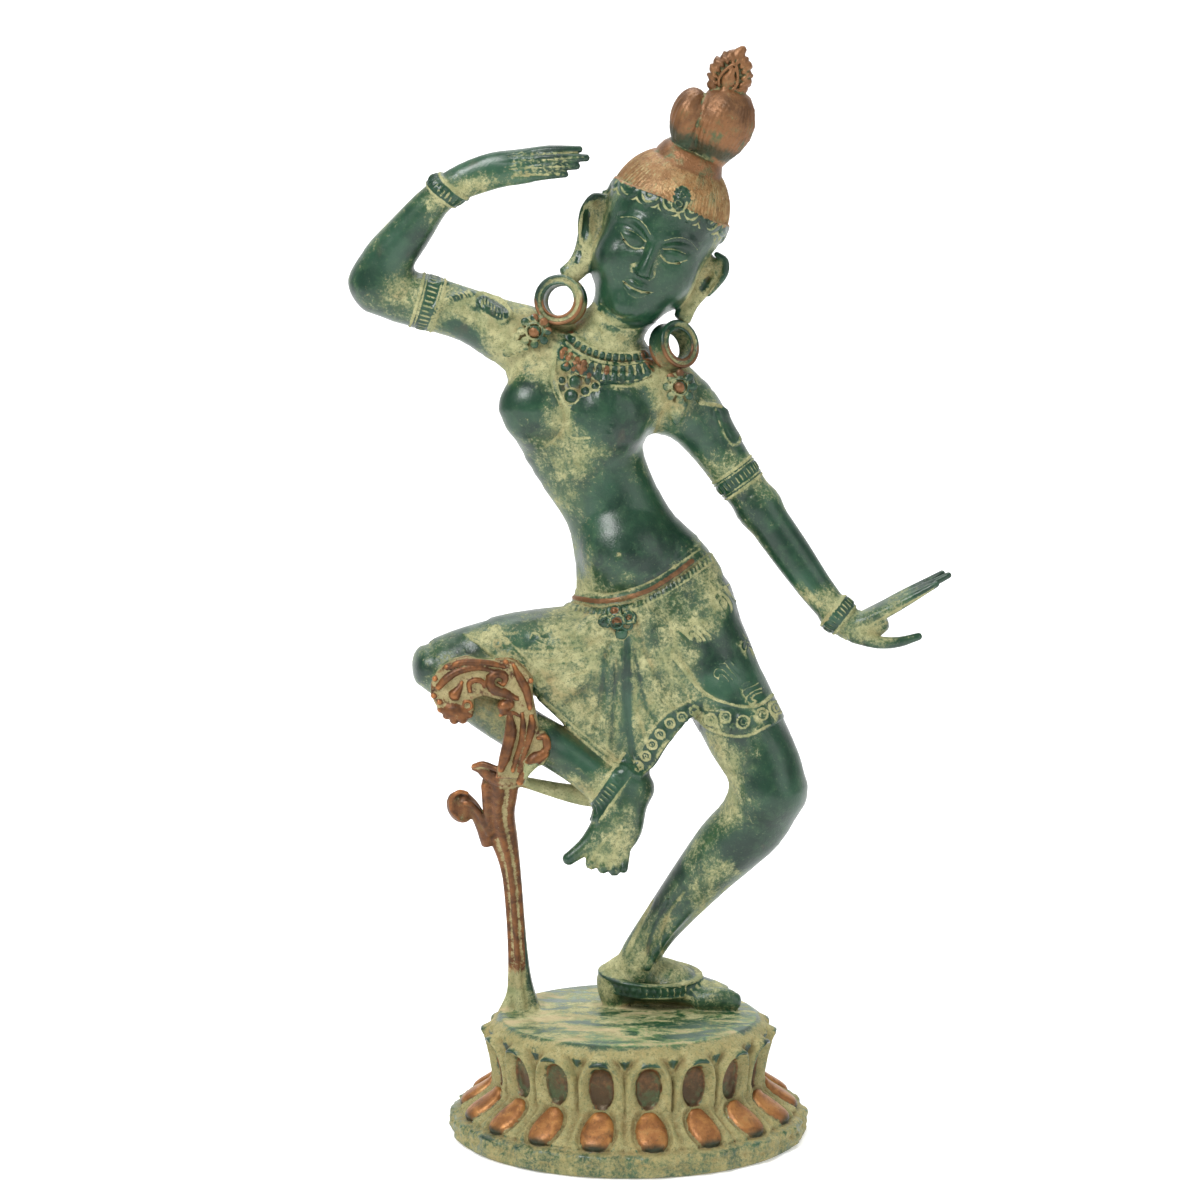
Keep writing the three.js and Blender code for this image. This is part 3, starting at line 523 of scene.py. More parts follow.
def rosette(c, down, n=5):
    c = np.array(c, float)
    d = np.array(down, float)
    d /= np.linalg.norm(d)
    side = np.cross(d, [0, 1, 0])
    put_ball(G, c + np.array([0, 1.6, 0]), (5.4, 2.6, 5.4), 0.8)
    put_ball(G, c - np.array([0, 1.9, 0]), (2.1, 1.7, 2.1), 0.15)
    put_ring(G, c - np.array([0, 1.2, 0]), (0, 1, 0), 2.9, 0.42, 0.8, 0.12, (1, 1), 0.4)
    for i in range(8):
        q = 2 * math.pi * i / 8
        put_ball(G, c + np.array([math.cos(q) * 4.7, -0.6, math.sin(q) * 4.7]), (1.45, 1.2, 1.45), 0.15)
        put_ring(G, c + np.array([math.cos(q) * 4.7, -1.2, math.sin(q) * 4.7]), (0, 1, 0), 1.15, 0.3, 0.5, 0.1, (1, 1), 0.3)
    put_ball(G, c + d * 7.4 + np.array([0, 1.6, 0]), (3.8, 2.0, 5.4), 0.8, basis(d))
    for i in range(1, n):
        w = 3.0 * (1 - i / (n + 0.6))
        for s in (-1, 0, 1):
            q = c + d * (4.0 + i * 2.1 + (0.9 if s == 0 else 0)) + side * s * w + np.array([0, -0.5 + 0.2 * i, 0])
            put_ball(G, q, (1.5 - 0.12 * i, 1.3, 1.35 - 0.1 * i), 0.12)
            put_ring(G, q - np.array([0, 0.9, 0]), (0, 1, 0), 1.0 - 0.09 * i, 0.26, 0.4, 0.1, (1, 1), 0.25)


rosette((-33.4, -6.4, 292.2), (-0.78, 0.1, -0.62))
rosette((17.6, -6.8, 272.8), (-0.10, 0.1, -0.98))

# ------------------------------------------------------------------ points of the surface under a place in the picture
def sample(F, P):
    q = (P - F.lo) / F.h
    i = np.clip(np.floor(q).astype(int), 0, F.n - 2)
    u = np.clip(q - i, 0, 1)
    out = 0
    for a in (0, 1):
        for b in (0, 1):
            for c in (0, 1):
                w = (u[:, 0] if a else 1 - u[:, 0]) * (u[:, 1] if b else 1 - u[:, 1]) * (u[:, 2] if c else 1 - u[:, 2])
                out = out + w * F.a[i[:, 0] + a, i[:, 1] + b, i[:, 2] + c]
    return out


def surf(px, py, back=False):
    """The first point of the form met behind (px, py), and the way out of it there."""
    ys = np.arange(-35.0, 35.0, 0.25)
    if back:
        ys = ys[::-1]
    line = np.array([unproject(px, py, y) for y in ys])
    d = sample(F, line)
    hit = np.where(d < 0)[0]
    if not len(hit):
        return None, None
    i = max(hit[0], 1)
    t = d[i - 1] / (d[i - 1] - d[i] + 1e-9)
    p = line[i - 1] * (1 - t) + line[i] * t
    e = 0.6
    g = np.array([sample(F, (p + e * v)[None])[0] - sample(F, (p - e * v)[None])[0] for v in np.eye(3)])
    return p, g / (np.linalg.norm(g) + 1e-9)


def bead(px, py, r, h=0.6, flat=1.0, k=0.25, stretch=1.0, turn=0.0):
    """A domed bead of radius r (mm) standing h proud of the form."""
    p, n = surf(px, py)
    if p is None:
        return
    a = math.radians(turn)
    x = np.array([math.cos(a), 0, -math.sin(a)])
    M = basis(n, x)
    put_ball(F, p + n * (h - r * 0.7 * flat), (r * stretch, r, r * 0.7 * flat), k, M)


def circle(px, py, r, tube=0.4, lift=0.15, k=0.15, squash=1.0):
    p, n = surf(px, py)
    if p is None:
        return
    put_ring(F, p + n * lift, n, r, tube, tube, k, (1, squash), tube * 0.9)


def spread(pts, step):
    """Even places along a line given in picture coordinates."""
    P = np.array(pts, float)
    L = np.concatenate([[0], np.cumsum(np.linalg.norm(np.diff(P, axis=0), axis=1))])
    n = max(int(round(L[-1] / step)), 1)
    t = (np.arange(n) + 0.5) / n * L[-1]
    return [(np.interp(v, L, P[:, 0]), np.interp(v, L, P[:, 1])) for v in t]


def cord(pts, r, lift=0.0, k=0.3, back=False, step=6):
    """A raised cord lying on the form along a line of the picture."""
    got = []
    P = np.array(pts, float)
    L = np.concatenate([[0], np.cumsum(np.linalg.norm(np.diff(P, axis=0), axis=1))])
    for v in np.linspace(0, L[-1], max(3, int(L[-1] / step))):
        p, n = surf(np.interp(v, L, P[:, 0]), np.interp(v, L, P[:, 1]), back)
        if p is not None:
            got.append(p + n * lift)
    if len(got) > 2:
        put_tube(F, got, r, k, 2)


class Snap:
    """The form as it stood at this stage, kept over a region, to tell later additions from it."""

    def __init__(self, F, lo, hi):
        sl, x, y, z = F.region(lo, hi)
        self.lo = np.array([x[0, 0, 0], y[0, 0, 0], z[0, 0, 0]], float)
        self.hi = np.array([x[-1, 0, 0], y[0, -1, 0], z[0, 0, -1]], float)
        self.h = F.h
        self.a = F.a[sl].copy()
        self.n = np.array(self.a.shape)

    def added(self, P, d=0.3):
        """1 where a point was put on after this stage."""
        out = np.zeros(len(P))
        m = np.all((P > self.lo) & (P < self.hi), axis=1)
        if m.any():
            out[m] = np.clip(sample(self, P[m]) / d, 0, 1)
        return out

    def beyond(self, P, a, b):
        out = np.zeros(len(P))
        m = np.all((P > self.lo) & (P < self.hi), axis=1)
        if m.any():
            t = np.clip((sample(self, P[m]) - a) / (b - a), 0, 1)
            out[m] = t * t * (3 - 2 * t)
        return out


say("apron")
APRON = [(596, 612), (640, 606), (690, 640), (702, 700), (692, 716), (674, 738), (657, 763), (641, 779), (624, 776), (600, 758), (570, 728), (540, 700), (522, 672), (560, 640)]


def slab(F, outline, y_front, y_back, k, soft=1.5):
    """A soft-edged slab filling an outline of the picture; y_front is at the top and at the bottom."""
    q = np.array([unproject(a, b, y_front[0]) for a, b in outline])
    X, Z = q[:, 0], q[:, 2]
    zt, zb = Z.max(), Z.min()

    def g(x, y, z):
        d = np.full(np.broadcast_shapes(x.shape, z.shape), 1e9, f32)
        inside = np.zeros(d.shape, bool)
        for i in range(len(X)):
            ax, az, bx, bz = X[i], Z[i], X[(i + 1) % len(X)], Z[(i + 1) % len(X)]
            ex, ez = bx - ax, bz - az
            s = np.clip(((x - ax) * ex + (z - az) * ez) / (ex * ex + ez * ez + 1e-9), 0, 1)
            d = np.minimum(d, (x - ax - s * ex) ** 2 + (z - az - s * ez) ** 2)
            inside ^= ((az > z) != (bz > z)) & (x < ex * (z - az) / (ez + 1e-12) + ax)
        d = np.where(inside, -np.sqrt(d), np.sqrt(d)) + soft
        t = (zt - z) / (zt - zb)
        yf = y_front[0] * (1 - t) + y_front[1] * t
        yb = y_back if np.isscalar(y_back) else y_back[0] * (1 - t) + y_back[1] * t
        half = (yb - yf) / 2
        e = np.abs(y - (yf + yb) / 2) - (half - soft)
        return np.clip(np.sqrt(np.maximum(d, 0) ** 2 + np.maximum(e, 0) ** 2) + np.minimum(np.maximum(d, e), 0) - soft, -FAR, FAR)

    F.add((X.min(), min(y_front), zb), (X.max(), y_back if np.isscalar(y_back) else max(y_back), zt), g, k)


slab(F, APRON, (-14.6, -11.4), -2.0, 4.0, 1.6)

say("scroll")


def U(px, py, y):
    return unproject(px, py, y)


def strands(st, offs, r, proud=0.35, k=0.35, sub=3, start=0, stop=None):
    """Rounded strips running along a swept form, at offs (share of its half width)."""
    L = Limb(st, sub)
    n = len(L.S)
    stop = n if stop is None else stop
    for o in offs:
        path = []
        for i in range(start, stop, 2):
            a, b = L.S[i, 3], L.S[i, 4]
            q = L.S[i, :3] + L.A[i] * o * a
            front = math.sqrt(max(1 - o * o, 0.02)) * b
            path.append([*(q - np.array([0, 1, 0]) * (front - r * a * 0.35 + proud * 0)), r * a, r * a * 0.9])
        if len(path) > 2:
            put_limb(F, path, k, 2, 0.9)
        back = [[*(np.array(p[:3]) + np.array([0, 2 * (front - r * a * 0.35), 0])), p[3], p[4]] for p in path]
        if len(back) > 2:
            put_limb(F, back, k, 2, 0.9)


BARE_LEG = Snap(F, (-70, -36, 36), (4, 30, 190))
STEM = [[-39.6, 9, 41.5, 7.6, 6.8], [-39.4, 8.6, 47.4, 5.4, 5], [-40.0, 7.6, 56, 4.0, 3.9], [-40.8, 6.2, 70, 3.3, 3.5], [-41.8, 4.4, 86, 3.2, 3.4], [-43.0, 2.0, 99, 3.5, 3.5], [-45.2, -1.4, 110, 4.8, 3.7], [-46.6, -4.8, 119, 5.4, 3.8], [-46.2, -8.2, 127, 6.2, 4.0], [-46.0, -10.4, 132.2, 6.6, 3.8]]
LIMBS["stem"] = put_limb(F, STEM, 1.5)
# the upper length and the head bent over the shin: one flat leaf, rounded at its edge
LEAF = [(500, 758), (504, 736), (505.5, 719), (499, 713), (497.5, 706), (502, 701), (494, 699), (485, 696.5), (478, 697.5), (473, 700), (473.6, 712), (471.4, 718), (463, 721), (454.3, 722.5), (447, 719), (440, 713.5), (434.3, 703.6),
        (430, 693.6), (430.7, 683.6), (435.7, 674.3), (443.6, 666), (454.3, 660), (465.7, 657), (477, 660.5), (494.3, 662), (505.7, 660), (517, 663.6), (525.7, 672), (532, 680.7), (531.6, 690.7), (533, 702), (536.4, 719.3), (538.6, 732),
        (545, 733), (550, 742), (549.3, 756.4), (543, 766.4), (533, 769.3), (523, 780.7), (495, 780)]
slab(F, LEAF, (-22.8, -21.2), (-14.0, -12.0), 0.8, 1.3)


# calyx where the two lengths meet, the lower left curl, the bridge of metal to the raised ankle
put_limb(F, [[*U(473, 767, -14), 1.2, 1.6], [*U(482, 768, -14), 2.6, 2.6], [*U(494, 775, -13.4), 3.4, 3.6], [*U(508, 779, -13.4), 3.4, 4.0], [*U(523, 777, -13), 2.4, 3.4]], 0.8)
put_limb(F, [[*U(489, 842, -2), 3.0, 2.8], [*U(481, 822, -3.4), 2.5, 2.6], [*U(473, 808, -4.2), 2.6, 2.6], [*U(464, 800, -4.6), 3.0, 2.8]], 1.0)
put_ball(F, U(460, 807, -4.6), (4.6, 3.0, 6.0), 0.8, rot("y", -24))
put_limb(F, [[*U(520, 781, -9.5), 1.9, 2.6], [*U(540, 786, -7.4), 2.4, 2.4], [*U(560, 791, -6), 3.0, 2.4], [*U(580, 795, -7.5), 3.6, 2.6], [*U(598, 797, -9.5), 3.8, 3]], 1.5)
GROUND = Snap(F, (-70, -36, 36), (4, 30, 190))
strands(STEM, [-0.72, -0.05, 0.66], 0.34, 0.35, 0.2)


def strip(pts, r, y=None, k=0.15):
    """A raised strip on the leaf, sitting on its face."""
    out = []
    for a, b in pts:
        y0 = (-22.8 + (b - 658) / 122 * 1.6 if b > 650 else -22.8) if y is None else y
        out.append(U(a, b, y0 - 0.25))
    put_tube(F, out, r, k)


strip([(450.7, 668), (457, 663.8), (467, 662), (481.4, 662.3), (494.3, 664), (504.3, 667)], [0.7, 1.15, 1.15, 1.15, 1.05, 0.6])
strip([(438.6, 687), (445.7, 679.3), (455.7, 672.4), (468.6, 668.4), (480, 667.4), (492.9, 671)], [1.2, 1.45, 1.35, 1.25, 1.05, 0.6])
strip([(462.1, 682), (459, 688.5), (454.6, 694.6)], [0.5, 1.3, 2.1])
strip([(470, 691), (469.3, 683.6), (475.7, 680), (482.9, 682), (484.3, 687)], [0.7, 1.0, 1.0, 1.0, 0.6])
strip([(517, 698.6), (505.7, 693.6), (493.6, 687), (491.4, 678), (497.9, 673.6), (505, 677), (503.4, 684), (498.4, 682.4)], [0.7, 1.6, 2.3, 2.0, 1.6, 1.3, 0.9, 0.5])
strip([(513.6, 665), (520, 677.9), (527, 692), (530, 708)], [0.6, 1.5, 1.5, 0.9])
strip([(531.4, 716.4), (532, 725), (528.6, 739.3), (524.3, 753.6), (518.6, 770.7)], [0.8, 1.4, 1.4, 1.1, 0.8])
strip([(522, 713.6), (523, 725), (521.4, 742), (517, 756.4), (512.9, 770.7)], [0.6, 1.0, 1.1, 1.0, 0.8])
strip([(510, 717.4), (510.6, 730.7), (508, 745), (504, 759.3), (501, 769.3)], [1.3, 2.1, 2.1, 1.9, 1.3])
strip([(509, 703.5), (504.6, 706.4), (504, 710)], [2.0, 2.6, 1.8])
strip([(500, 715.5), (506, 713), (514, 713), (519, 716)], [0.6, 0.7, 0.7, 0.5])
strip([(544.3, 754), (534.3, 759.6), (526, 770.7), (520, 782)], [1.7, 2.7, 1.9, 1.4])
strip([(538.6, 738), (545, 737.6), (547, 747), (543, 751)], [0.8, 1.3, 1.5, 1.0])
put_ball(F, U(455.7, 711.4, -21.6), (5.0, 2.3, 3.0), 0.3, rot("y", 12))
for a, b, r in [(447, 715, 1.6), (454.3, 719.6, 1.7), (462.9, 719, 1.7), (469, 714.4, 1.5), (440.6, 709, 1.3)]:
    put_ball(F, U(a, b, -20.4), (r, 2.2, r), 0.3)
for a, b in [(435, 678.6), (433.6, 695.7), (439.3, 702), (447, 667), (505.7, 662), (530.7, 680.7), (532.6, 671), (528, 667)]:
    put_ball(F, U(a, b, -22.2), (1.05, 1.2, 1.05), 0.2)
put_ring(F, U(467.4, 705.4, -22.2), (0, 1, 0), 1.5, 0.5, 0.9, 0.2, (1, 1), 0.45)
# the calyx's lip
put_tube(F, [U(473.6, 766, -15.6), U(483, 764, -17.0), U(497, 769, -18.0), U(511, 772, -18.0), U(523, 775, -16.4)], [0.8, 1.1, 1.1, 1.1, 0.8], 0.15)
put_tube(F, [U(467, 793, -6.6), U(459, 792, -7), U(451.5, 799, -7), U(452, 811, -7), U(459, 819, -7)], [0.7, 0.9, 1.0, 0.9, 0.6], 0.3)
put_tube(F, [U(489, 834, -5.2), U(480, 815, -6.4), U(471, 804, -7.0), U(464, 803, -7.4)], [1.2, 1.2, 1.1, 0.8], 0.3)

BARE = Snap(F, (-60, -36, 180), (50, 36, 310))
say("jewels")
# the ring that hangs on the standing foot
AC, AX = np.array([8.0, 12.0, 53.2]), (0.04, -0.15, 0.98)
MA = basis(AX)
put_ball(F, (14.0, 12.6, 52.2), (9.2, 9.4, 7.2), 2.5)
put_ball(F, (-1.4, 12.0, 51.6), (7.4, 9.2, 5.8), 2.0)
put_ring(F, AC, AX, 1.0, 1.3, 2.6, 0.8, (17.2, 11.0), 0.8)
for s in (-1, 1):
    put_ring(F, AC + MA[2] * s * 2.3, AX, 1.0, 1.0, 0.55, 0.2, (17.9, 11.7), 0.5)
for i in range(46):
    q = 2 * math.pi * i / 46
    put_ball(F, AC - MA[2] * 0.2 + MA[0] * 18.4 * math.cos(q) + MA[1] * 12.2 * math.sin(q), (0.8, 0.8, 1.6), 0.1, MA)

# collar: a plate on the breastbone; its cells are carved later
cord([(571, 335), (582, 345), (597, 352), (612, 355), (630, 356), (645, 354)], 1.5, -0.5, 1.0)
cord([(562, 344), (574, 355), (590, 363), (606, 367.5), (622, 369), (638, 367.5), (650, 363)], 1.7, -0.5, 1.0)
cord([(560, 352), (568, 364), (584, 372), (602, 376), (620, 377.5), (638, 376), (650, 371)], 1.5, -0.4, 1.0)
cord([(568, 364), (572, 380), (573, 396)], 2.6, -1.6, 1.0)
# the collar's cord round the nape
cord([(571, 333), (585, 322), (602, 318), (620, 322), (640, 338), (648, 352)], 0.9, 0.2, 0.4, True)
cord([(560, 340), (578, 329), (600, 325), (622, 329), (642, 346), (650, 358)], 0.7, 0.2, 0.4, True)

# clasp of the belt: four petals round a boss
bead(616.7, 622, 2.1, 1.5, 1.1, 0.2)
circle(616.7, 622, 2.3, 0.45, 0.5)
for a, b in [(614.4, 611.5), (629, 617.5), (605.5, 622), (621.5, 633), (627, 625)]:
    bead(a, b, 1.75, 0.9, 1.0, 0.2)
    circle(a, b, 1.7, 0.35, 0.35)

# ------------------------------------------------------------------ the plinth, a carved turning with an oval plan
say("plinth")
PET, PH, OV = 18, math.radians(8), 0.85
PROFILE = np.array([[0, 0], [63.6, 0], [64.6, 0.8], [65.0, 4.0], [64.6, 7.4], [63.4, 8.5], [61.9, 8.9], [60.0, 10.6], [56.6, 12.7], [52.8, 15.2], [50.2, 17.4], [49.0, 20.4], [48.9, 24.0], [49.5, 29.0], [50.2, 34.0],
                    [50.7, 37.4], [50.6, 39.4], [49.5, 41.2], [48.2, 42.2], [47.0, 43.1], [46.2, 43.4], [0, 43.4]])


def petal(t):
    """Signed angle from the nearest petal's middle, its number, and the swell of the outline."""
    a = (t - PH) / (2 * math.pi / PET)
    k = np.round(a)
    return (a - k) * (2 * math.pi / PET), k, 1.6 * np.abs(np.cos(9 * (t - PH))) - 0.9


def soft(a, b, x):
    t = np.clip((x - a) / (b - a), 0, 1)
    return t * t * (3 - 2 * t)


def carve(q, z, t):
    """Relief of the lotus in millimetres and its parts: copper, edge and hollow, for a place on the plinth."""
    da, k, wave = petal(t)
    wob = 0.6 * np.sin(k * 2.7 + 0.6) + 0.3 * np.sin(k * 5.1)
    u = da * 49.5 + wob * 0.25
    D = np.zeros(np.broadcast(q, z, t).shape, f32)
    # upper tier: a niche with an oval in it, a border, and an arch with a turned lip
    up = soft(19.0, 21.0, z) * (1 - soft(40.2, 41.6, z))
    zc = 27.9 + 0.25 * wob
    e = (np.abs(u / (5.0 + 0.15 * np.sin(k * 3.1))) ** 2.3 + np.abs((z - zc) / 7.9) ** 2.3) ** (1 / 2.3)
    D += up * (-2.3 * (1 - soft(0.80, 1.06, e)) + 0.5 * (1 - soft(0.0, 0.6, e)) + 1.15 * np.exp(-((e - 1.26) / 0.15) ** 2))
    ev = np.sqrt((u / 7.5) ** 2 + (np.maximum(z - 27.5, 0) / 11.2) ** 2)
    D += up * (1.35 * np.exp(-((ev - 0.97) / 0.11) ** 2) - 0.5 * np.exp(-((ev - 0.80) / 0.07) ** 2) * soft(24, 28, z) - 2.1 * soft(1.06, 1.2, ev) * soft(40.5, 36.5, z))
    lip = np.exp(-(u / 3.6) ** 4) * np.exp(-((z - 37.6 + 0.05 * u * u) / 1.5) ** 2)
    D += 1.15 * lip
    v = (np.abs(da) - math.pi / PET) * 49.5
    D += up * (1.2 * np.exp(-(v / 0.95) ** 2) - 0.6 * np.exp(-(v / 0.3) ** 2)) * (0.45 + 0.55 * soft(30, 35, z))
    fan = np.exp(-(v / (0.8 + 1.5 * soft(33.5, 38.5, z))) ** 4) * soft(33.5, 37, z) * (1 - soft(38.2, 39.4, z))
    D += fan * (0.9 + 0.3 * np.cos(v * 4.2))
    # lower tier: raised tongues on the slope
    lo = (1 - soft(19.8, 21.4, z)) * soft(8.0, 8.8, z)
    s = (q - 50.2) * 0.809 - (z - 17.4) * 0.588  # down the slope
    r = (s - 6.1) / 8.3
    w = 5.7 + 0.5 * np.clip(r, -1, 1) + 0.2 * np.sin(k * 4.3)
    uu = da * q + wob * 0.3
    e2 = (np.abs(uu / w) ** 2.25 + np.abs(r) ** 2.25) ** (1 / 2.25)
    D += lo * (1.9 * np.sqrt(np.clip(1 - np.clip(e2, 0, 1) ** 3, 0, 1)) * (1 - soft(0.98, 1.02, e2)) - 0.8 * np.exp(-((e2 - 1.1) / 0.08) ** 2))
    v2 = (np.abs(da) - math.pi / PET) * q
    D += lo * (0.7 * np.exp(-((e2 - 1.36) / 0.12) ** 2) - 0.7 * np.exp(-(v2 / 0.5) ** 2))
    # the foot band: notched and uneven
    band = soft(8.7, 7.7, z) * soft(55, 60, q)
    D += band * (wave * 0.9 + 0.30 * np.sin(37 * t + 2 * np.sin(11 * t) + 0.3 * z) + 0.28 * np.sin(71 * t - 0.5 * z + 3 * np.sin(17 * t)) * np.sin(13 * t + 0.4 * z) + 0.2 * np.sin(1.9 * z + 2.2 * np.sin(29 * t)) - 0.5 * np.exp(-((z - 4.6 + 0.9 * np.sin(t * 9)) / 0.7) ** 2))
    D += -0.9 * np.exp(-((z - 8.8) / 0.55) ** 2) * soft(57, 60.5, q)
    return D, up * (1 - soft(0.93, 1.02, e)), lo * (1 - soft(0.99, 1.05, e2)), np.maximum(lip, fan), lo * soft(0.62, 0.93, r) * (1 - soft(1.0, 1.04, e2)), band, ev, e, e2


def plinth_sdf(x, y, z):
    yy = y / OV
    q = np.sqrt(x * x + yy * yy)
    t = np.arctan2(x, -yy)
    shape = np.broadcast_shapes(q.shape, z.shape)
    q, z, t = np.broadcast_to(q, shape), np.broadcast_to(z, shape), np.broadcast_to(t, shape)
    out = np.full(shape, FAR, f32)
    inner = (q < 43) & (z > 4) & (z < 39)
    out[inner] = -4.0
    m = ~inner & (q < 70)
    Q, Z, Tt = q[m], z[m], t[m]
    d = np.full(Q.shape, 1e9, f32)
    inside = np.zeros(Q.shape, bool)
    n = len(PROFILE)
    for i in range(n):
        a, b = PROFILE[i], PROFILE[(i + 1) % n]
        if a[0] == 0 and b[0] == 0:
            cond = ((a[1] > Z) != (b[1] > Z)) & (Q < 0)
            inside ^= cond
            continue
        e = b - a
        s = np.clip(((Q - a[0]) * e[0] + (Z - a[1]) * e[1]) / (e @ e), 0, 1)
        d = np.minimum(d, (Q - a[0] - s * e[0]) ** 2 + (Z - a[1] - s * e[1]) ** 2)
        inside ^= ((a[1] > Z) != (b[1] > Z)) & (Q < (b[0] - a[0]) * (Z - a[1]) / (b[1] - a[1] + 1e-12) + a[0])
    d = np.sqrt(d)
    d = np.where(inside, -d, d)
    near = np.abs(d) < 3.4
    D = np.zeros(Q.shape, f32)
    D[near] = carve(Q[near], Z[near], Tt[near])[0] * soft(0.3, 1.6, Z[near])
    # the plan is squashed in depth, so the distance is shortened where it faces the front
    sq = np.sqrt(np.sin(Tt) ** 2 + (OV * np.cos(Tt)) ** 2)
    flat = (Z > 43.2) | (Z < 0.2)
    d = (d - D) * np.where(flat, 1.0, 0.5 + 0.5 * sq)
    out[m] = np.clip(d, -FAR, FAR)
    return out


F.add((-67, -57.5, -1.5), (67, 57.5, 45), plinth_sdf, 1.2)

say("mesh")
P, T = F.mesh()
say("points", len(P), "triangles", len(T))


def mesh_normals(P, T):
    e = np.cross(P[T[:, 1]] - P[T[:, 0]], P[T[:, 2]] - P[T[:, 0]])
    N = np.stack([sum(np.bincount(T[:, k], e[:, c], len(P)) for k in range(3)) for c in range(3)], 1)
    return N / (np.linalg.norm(N, axis=1, keepdims=True) + 1e-12)


def islands(n, T):
    """Label of the connected part each point belongs to."""
    lab = np.arange(n)
    while True:
        m = lab[T].min(1)
        new = lab.copy()
        for k in range(3):
            np.minimum.at(new, T[:, k], m)
        new = new[new]
        if (new == lab).all():
            return lab
        lab = new


# ------------------------------------------------------------------ fine carving
CAM = np.array([CAM_X, -CAM_D, CAM_H])
PXMM = 2.83


def smooth_line(pts, n=5):
    A = np.array(pts, float)
    if len(A) < 3:
        return A
    E = np.vstack([2 * A[0] - A[1], A, 2 * A[-1] - A[-2]])
    out = []
    for i in range(len(A) - 1):
        p0, p1, p2, p3 = E[i:i + 4]
        for u in np.arange(n) / n:
            out.append(0.5 * (2 * p1 + (p2 - p0) * u + (2 * p0 - 5 * p1 + 4 * p2 - p3) * u * u + (3 * p1 - p0 - 3 * p2 + p3) * u ** 3))
    out.append(A[-1])
    return np.array(out)


LINES = []  # (points, half width mm, height mm, side, cream, copper, sharpness)


def line(pts, w=0.35, h=-0.3, side=1, cream=0.8, copper=0.0, smooth=True):
    LINES.append((smooth_line(pts) if smooth else np.array(pts, float), w, h, side, cream, copper, 1))


def loop(cx, cy, r, w=0.35, h=0.25, side=1, cream=0.8, a0=0, a1=360, sq=1.0, copper=0.0):
    n = 14
    q = np.radians(np.linspace(a0, a1, n + 1))
    LINES.append((np.stack([cx + r * np.cos(q), cy + r * sq * np.sin(q)], 1), w, h, side, cream, copper, 1))


def dot(cx, cy, r, h=0.3, side=1, cream=0.0, copper=0.0):
    LINES.append((np.array([[cx, cy], [cx + 0.01, cy]]), r, h, side, cream, copper, 2))


def cell(a, b, r, h=0.5, cream=-1.8, copper=0.0, side=1):
    """A small domed stone or bead from a to b."""
    LINES.append((np.array([a, b], float), r, h, side, cream, copper, 3))


def ticks(pts, step, length, w=0.22, h=-0.25, side=1, cream=0.3, lean=0.0):
    A = smooth_line(pts, 6)
    L = np.concatenate([[0], np.cumsum(np.linalg.norm(np.diff(A, axis=0), axis=1))])
    n = max(int(L[-1] / step), 1)
    for i in range(n):
        v = (i + 0.5) / n * L[-1]
        c = np.array([np.interp(v, L, A[:, 0]), np.interp(v, L, A[:, 1])])
        c2 = np.array([np.interp(v + 1, L, A[:, 0]), np.interp(v + 1, L, A[:, 1])])
        d = (c2 - c) / (np.linalg.norm(c2 - c) + 1e-9)
        nn = np.array([-d[1], d[0]]) + d * lean
        LINES.append((np.array([c - nn * length / 2, c + nn * length / 2]), w, h, side, cream, 0.0, 1))


# collar: a fine cord, square cells, two cords, broad cells, a bottom row, and a cluster of stones
CO = [(572, 333), (583, 342.5), (597, 349), (612, 352), (630, 353), (645, 351)]
C1 = [(570, 338), (581, 347.5), (596, 354), (611, 357.5), (629, 358.5), (646, 356)]
C2 = [(566, 342), (578, 352), (593, 359), (608, 362.5), (626, 363.5), (648, 360)]
C3 = [(562, 345), (574, 355.5), (590, 362.5), (606, 366.5), (624, 367.5), (649, 363.5)]
C4 = [(559, 350), (569, 361), (585, 369), (603, 373.5), (622, 375), (640, 373), (651, 368)]
C5 = [(558, 356), (567, 368), (583, 376), (602, 380.5), (622, 381.5), (640, 379), (652, 374)]
line(CO, 0.3, 0.3, cream=1.8)
line(C2, 0.4, 0.5, cream=2.2)
line(C3, 0.3, 0.35, cream=1.9)
line(C5, 0.3, 0.3, cream=1.6)


def along(pts, step):
    A = smooth_line(pts, 6)
    L = np.concatenate([[0], np.cumsum(np.linalg.norm(np.diff(A, axis=0), axis=1))])
    n = max(int(round(L[-1] / step)), 1)
    out = []
    for i in range(n):
        v = (i + 0.5) / n * L[-1]
        c = np.array([np.interp(v, L, A[:, 0]), np.interp(v, L, A[:, 1])])
        e = np.array([np.interp(v + 1, L, A[:, 0]), np.interp(v + 1, L, A[:, 1])]) - c
        e /= np.linalg.norm(e) + 1e-9
        out.append((c, np.array([-e[1], e[0]]), i))
    return out


PLATE = np.array([(568, 334), (583, 346), (597, 352), (612, 355), (630, 356), (650, 353), (655, 372), (640, 383), (612, 385), (594, 391), (580, 402), (571, 410), (562, 400), (556, 380), (555, 352)], float)


def between(pts, step, length, w, cream):
    q = along(pts, step)
    for (c0, n0, _), (c1, n1, _) in zip(q[:-1], q[1:]):
        c, nn = (c0 + c1) / 2, (n0 + n1) / 2
        LINES.append((np.array([c - nn * length / 2, c + nn * length / 2]), w, 0.05, 1, cream, 0.0, 1))


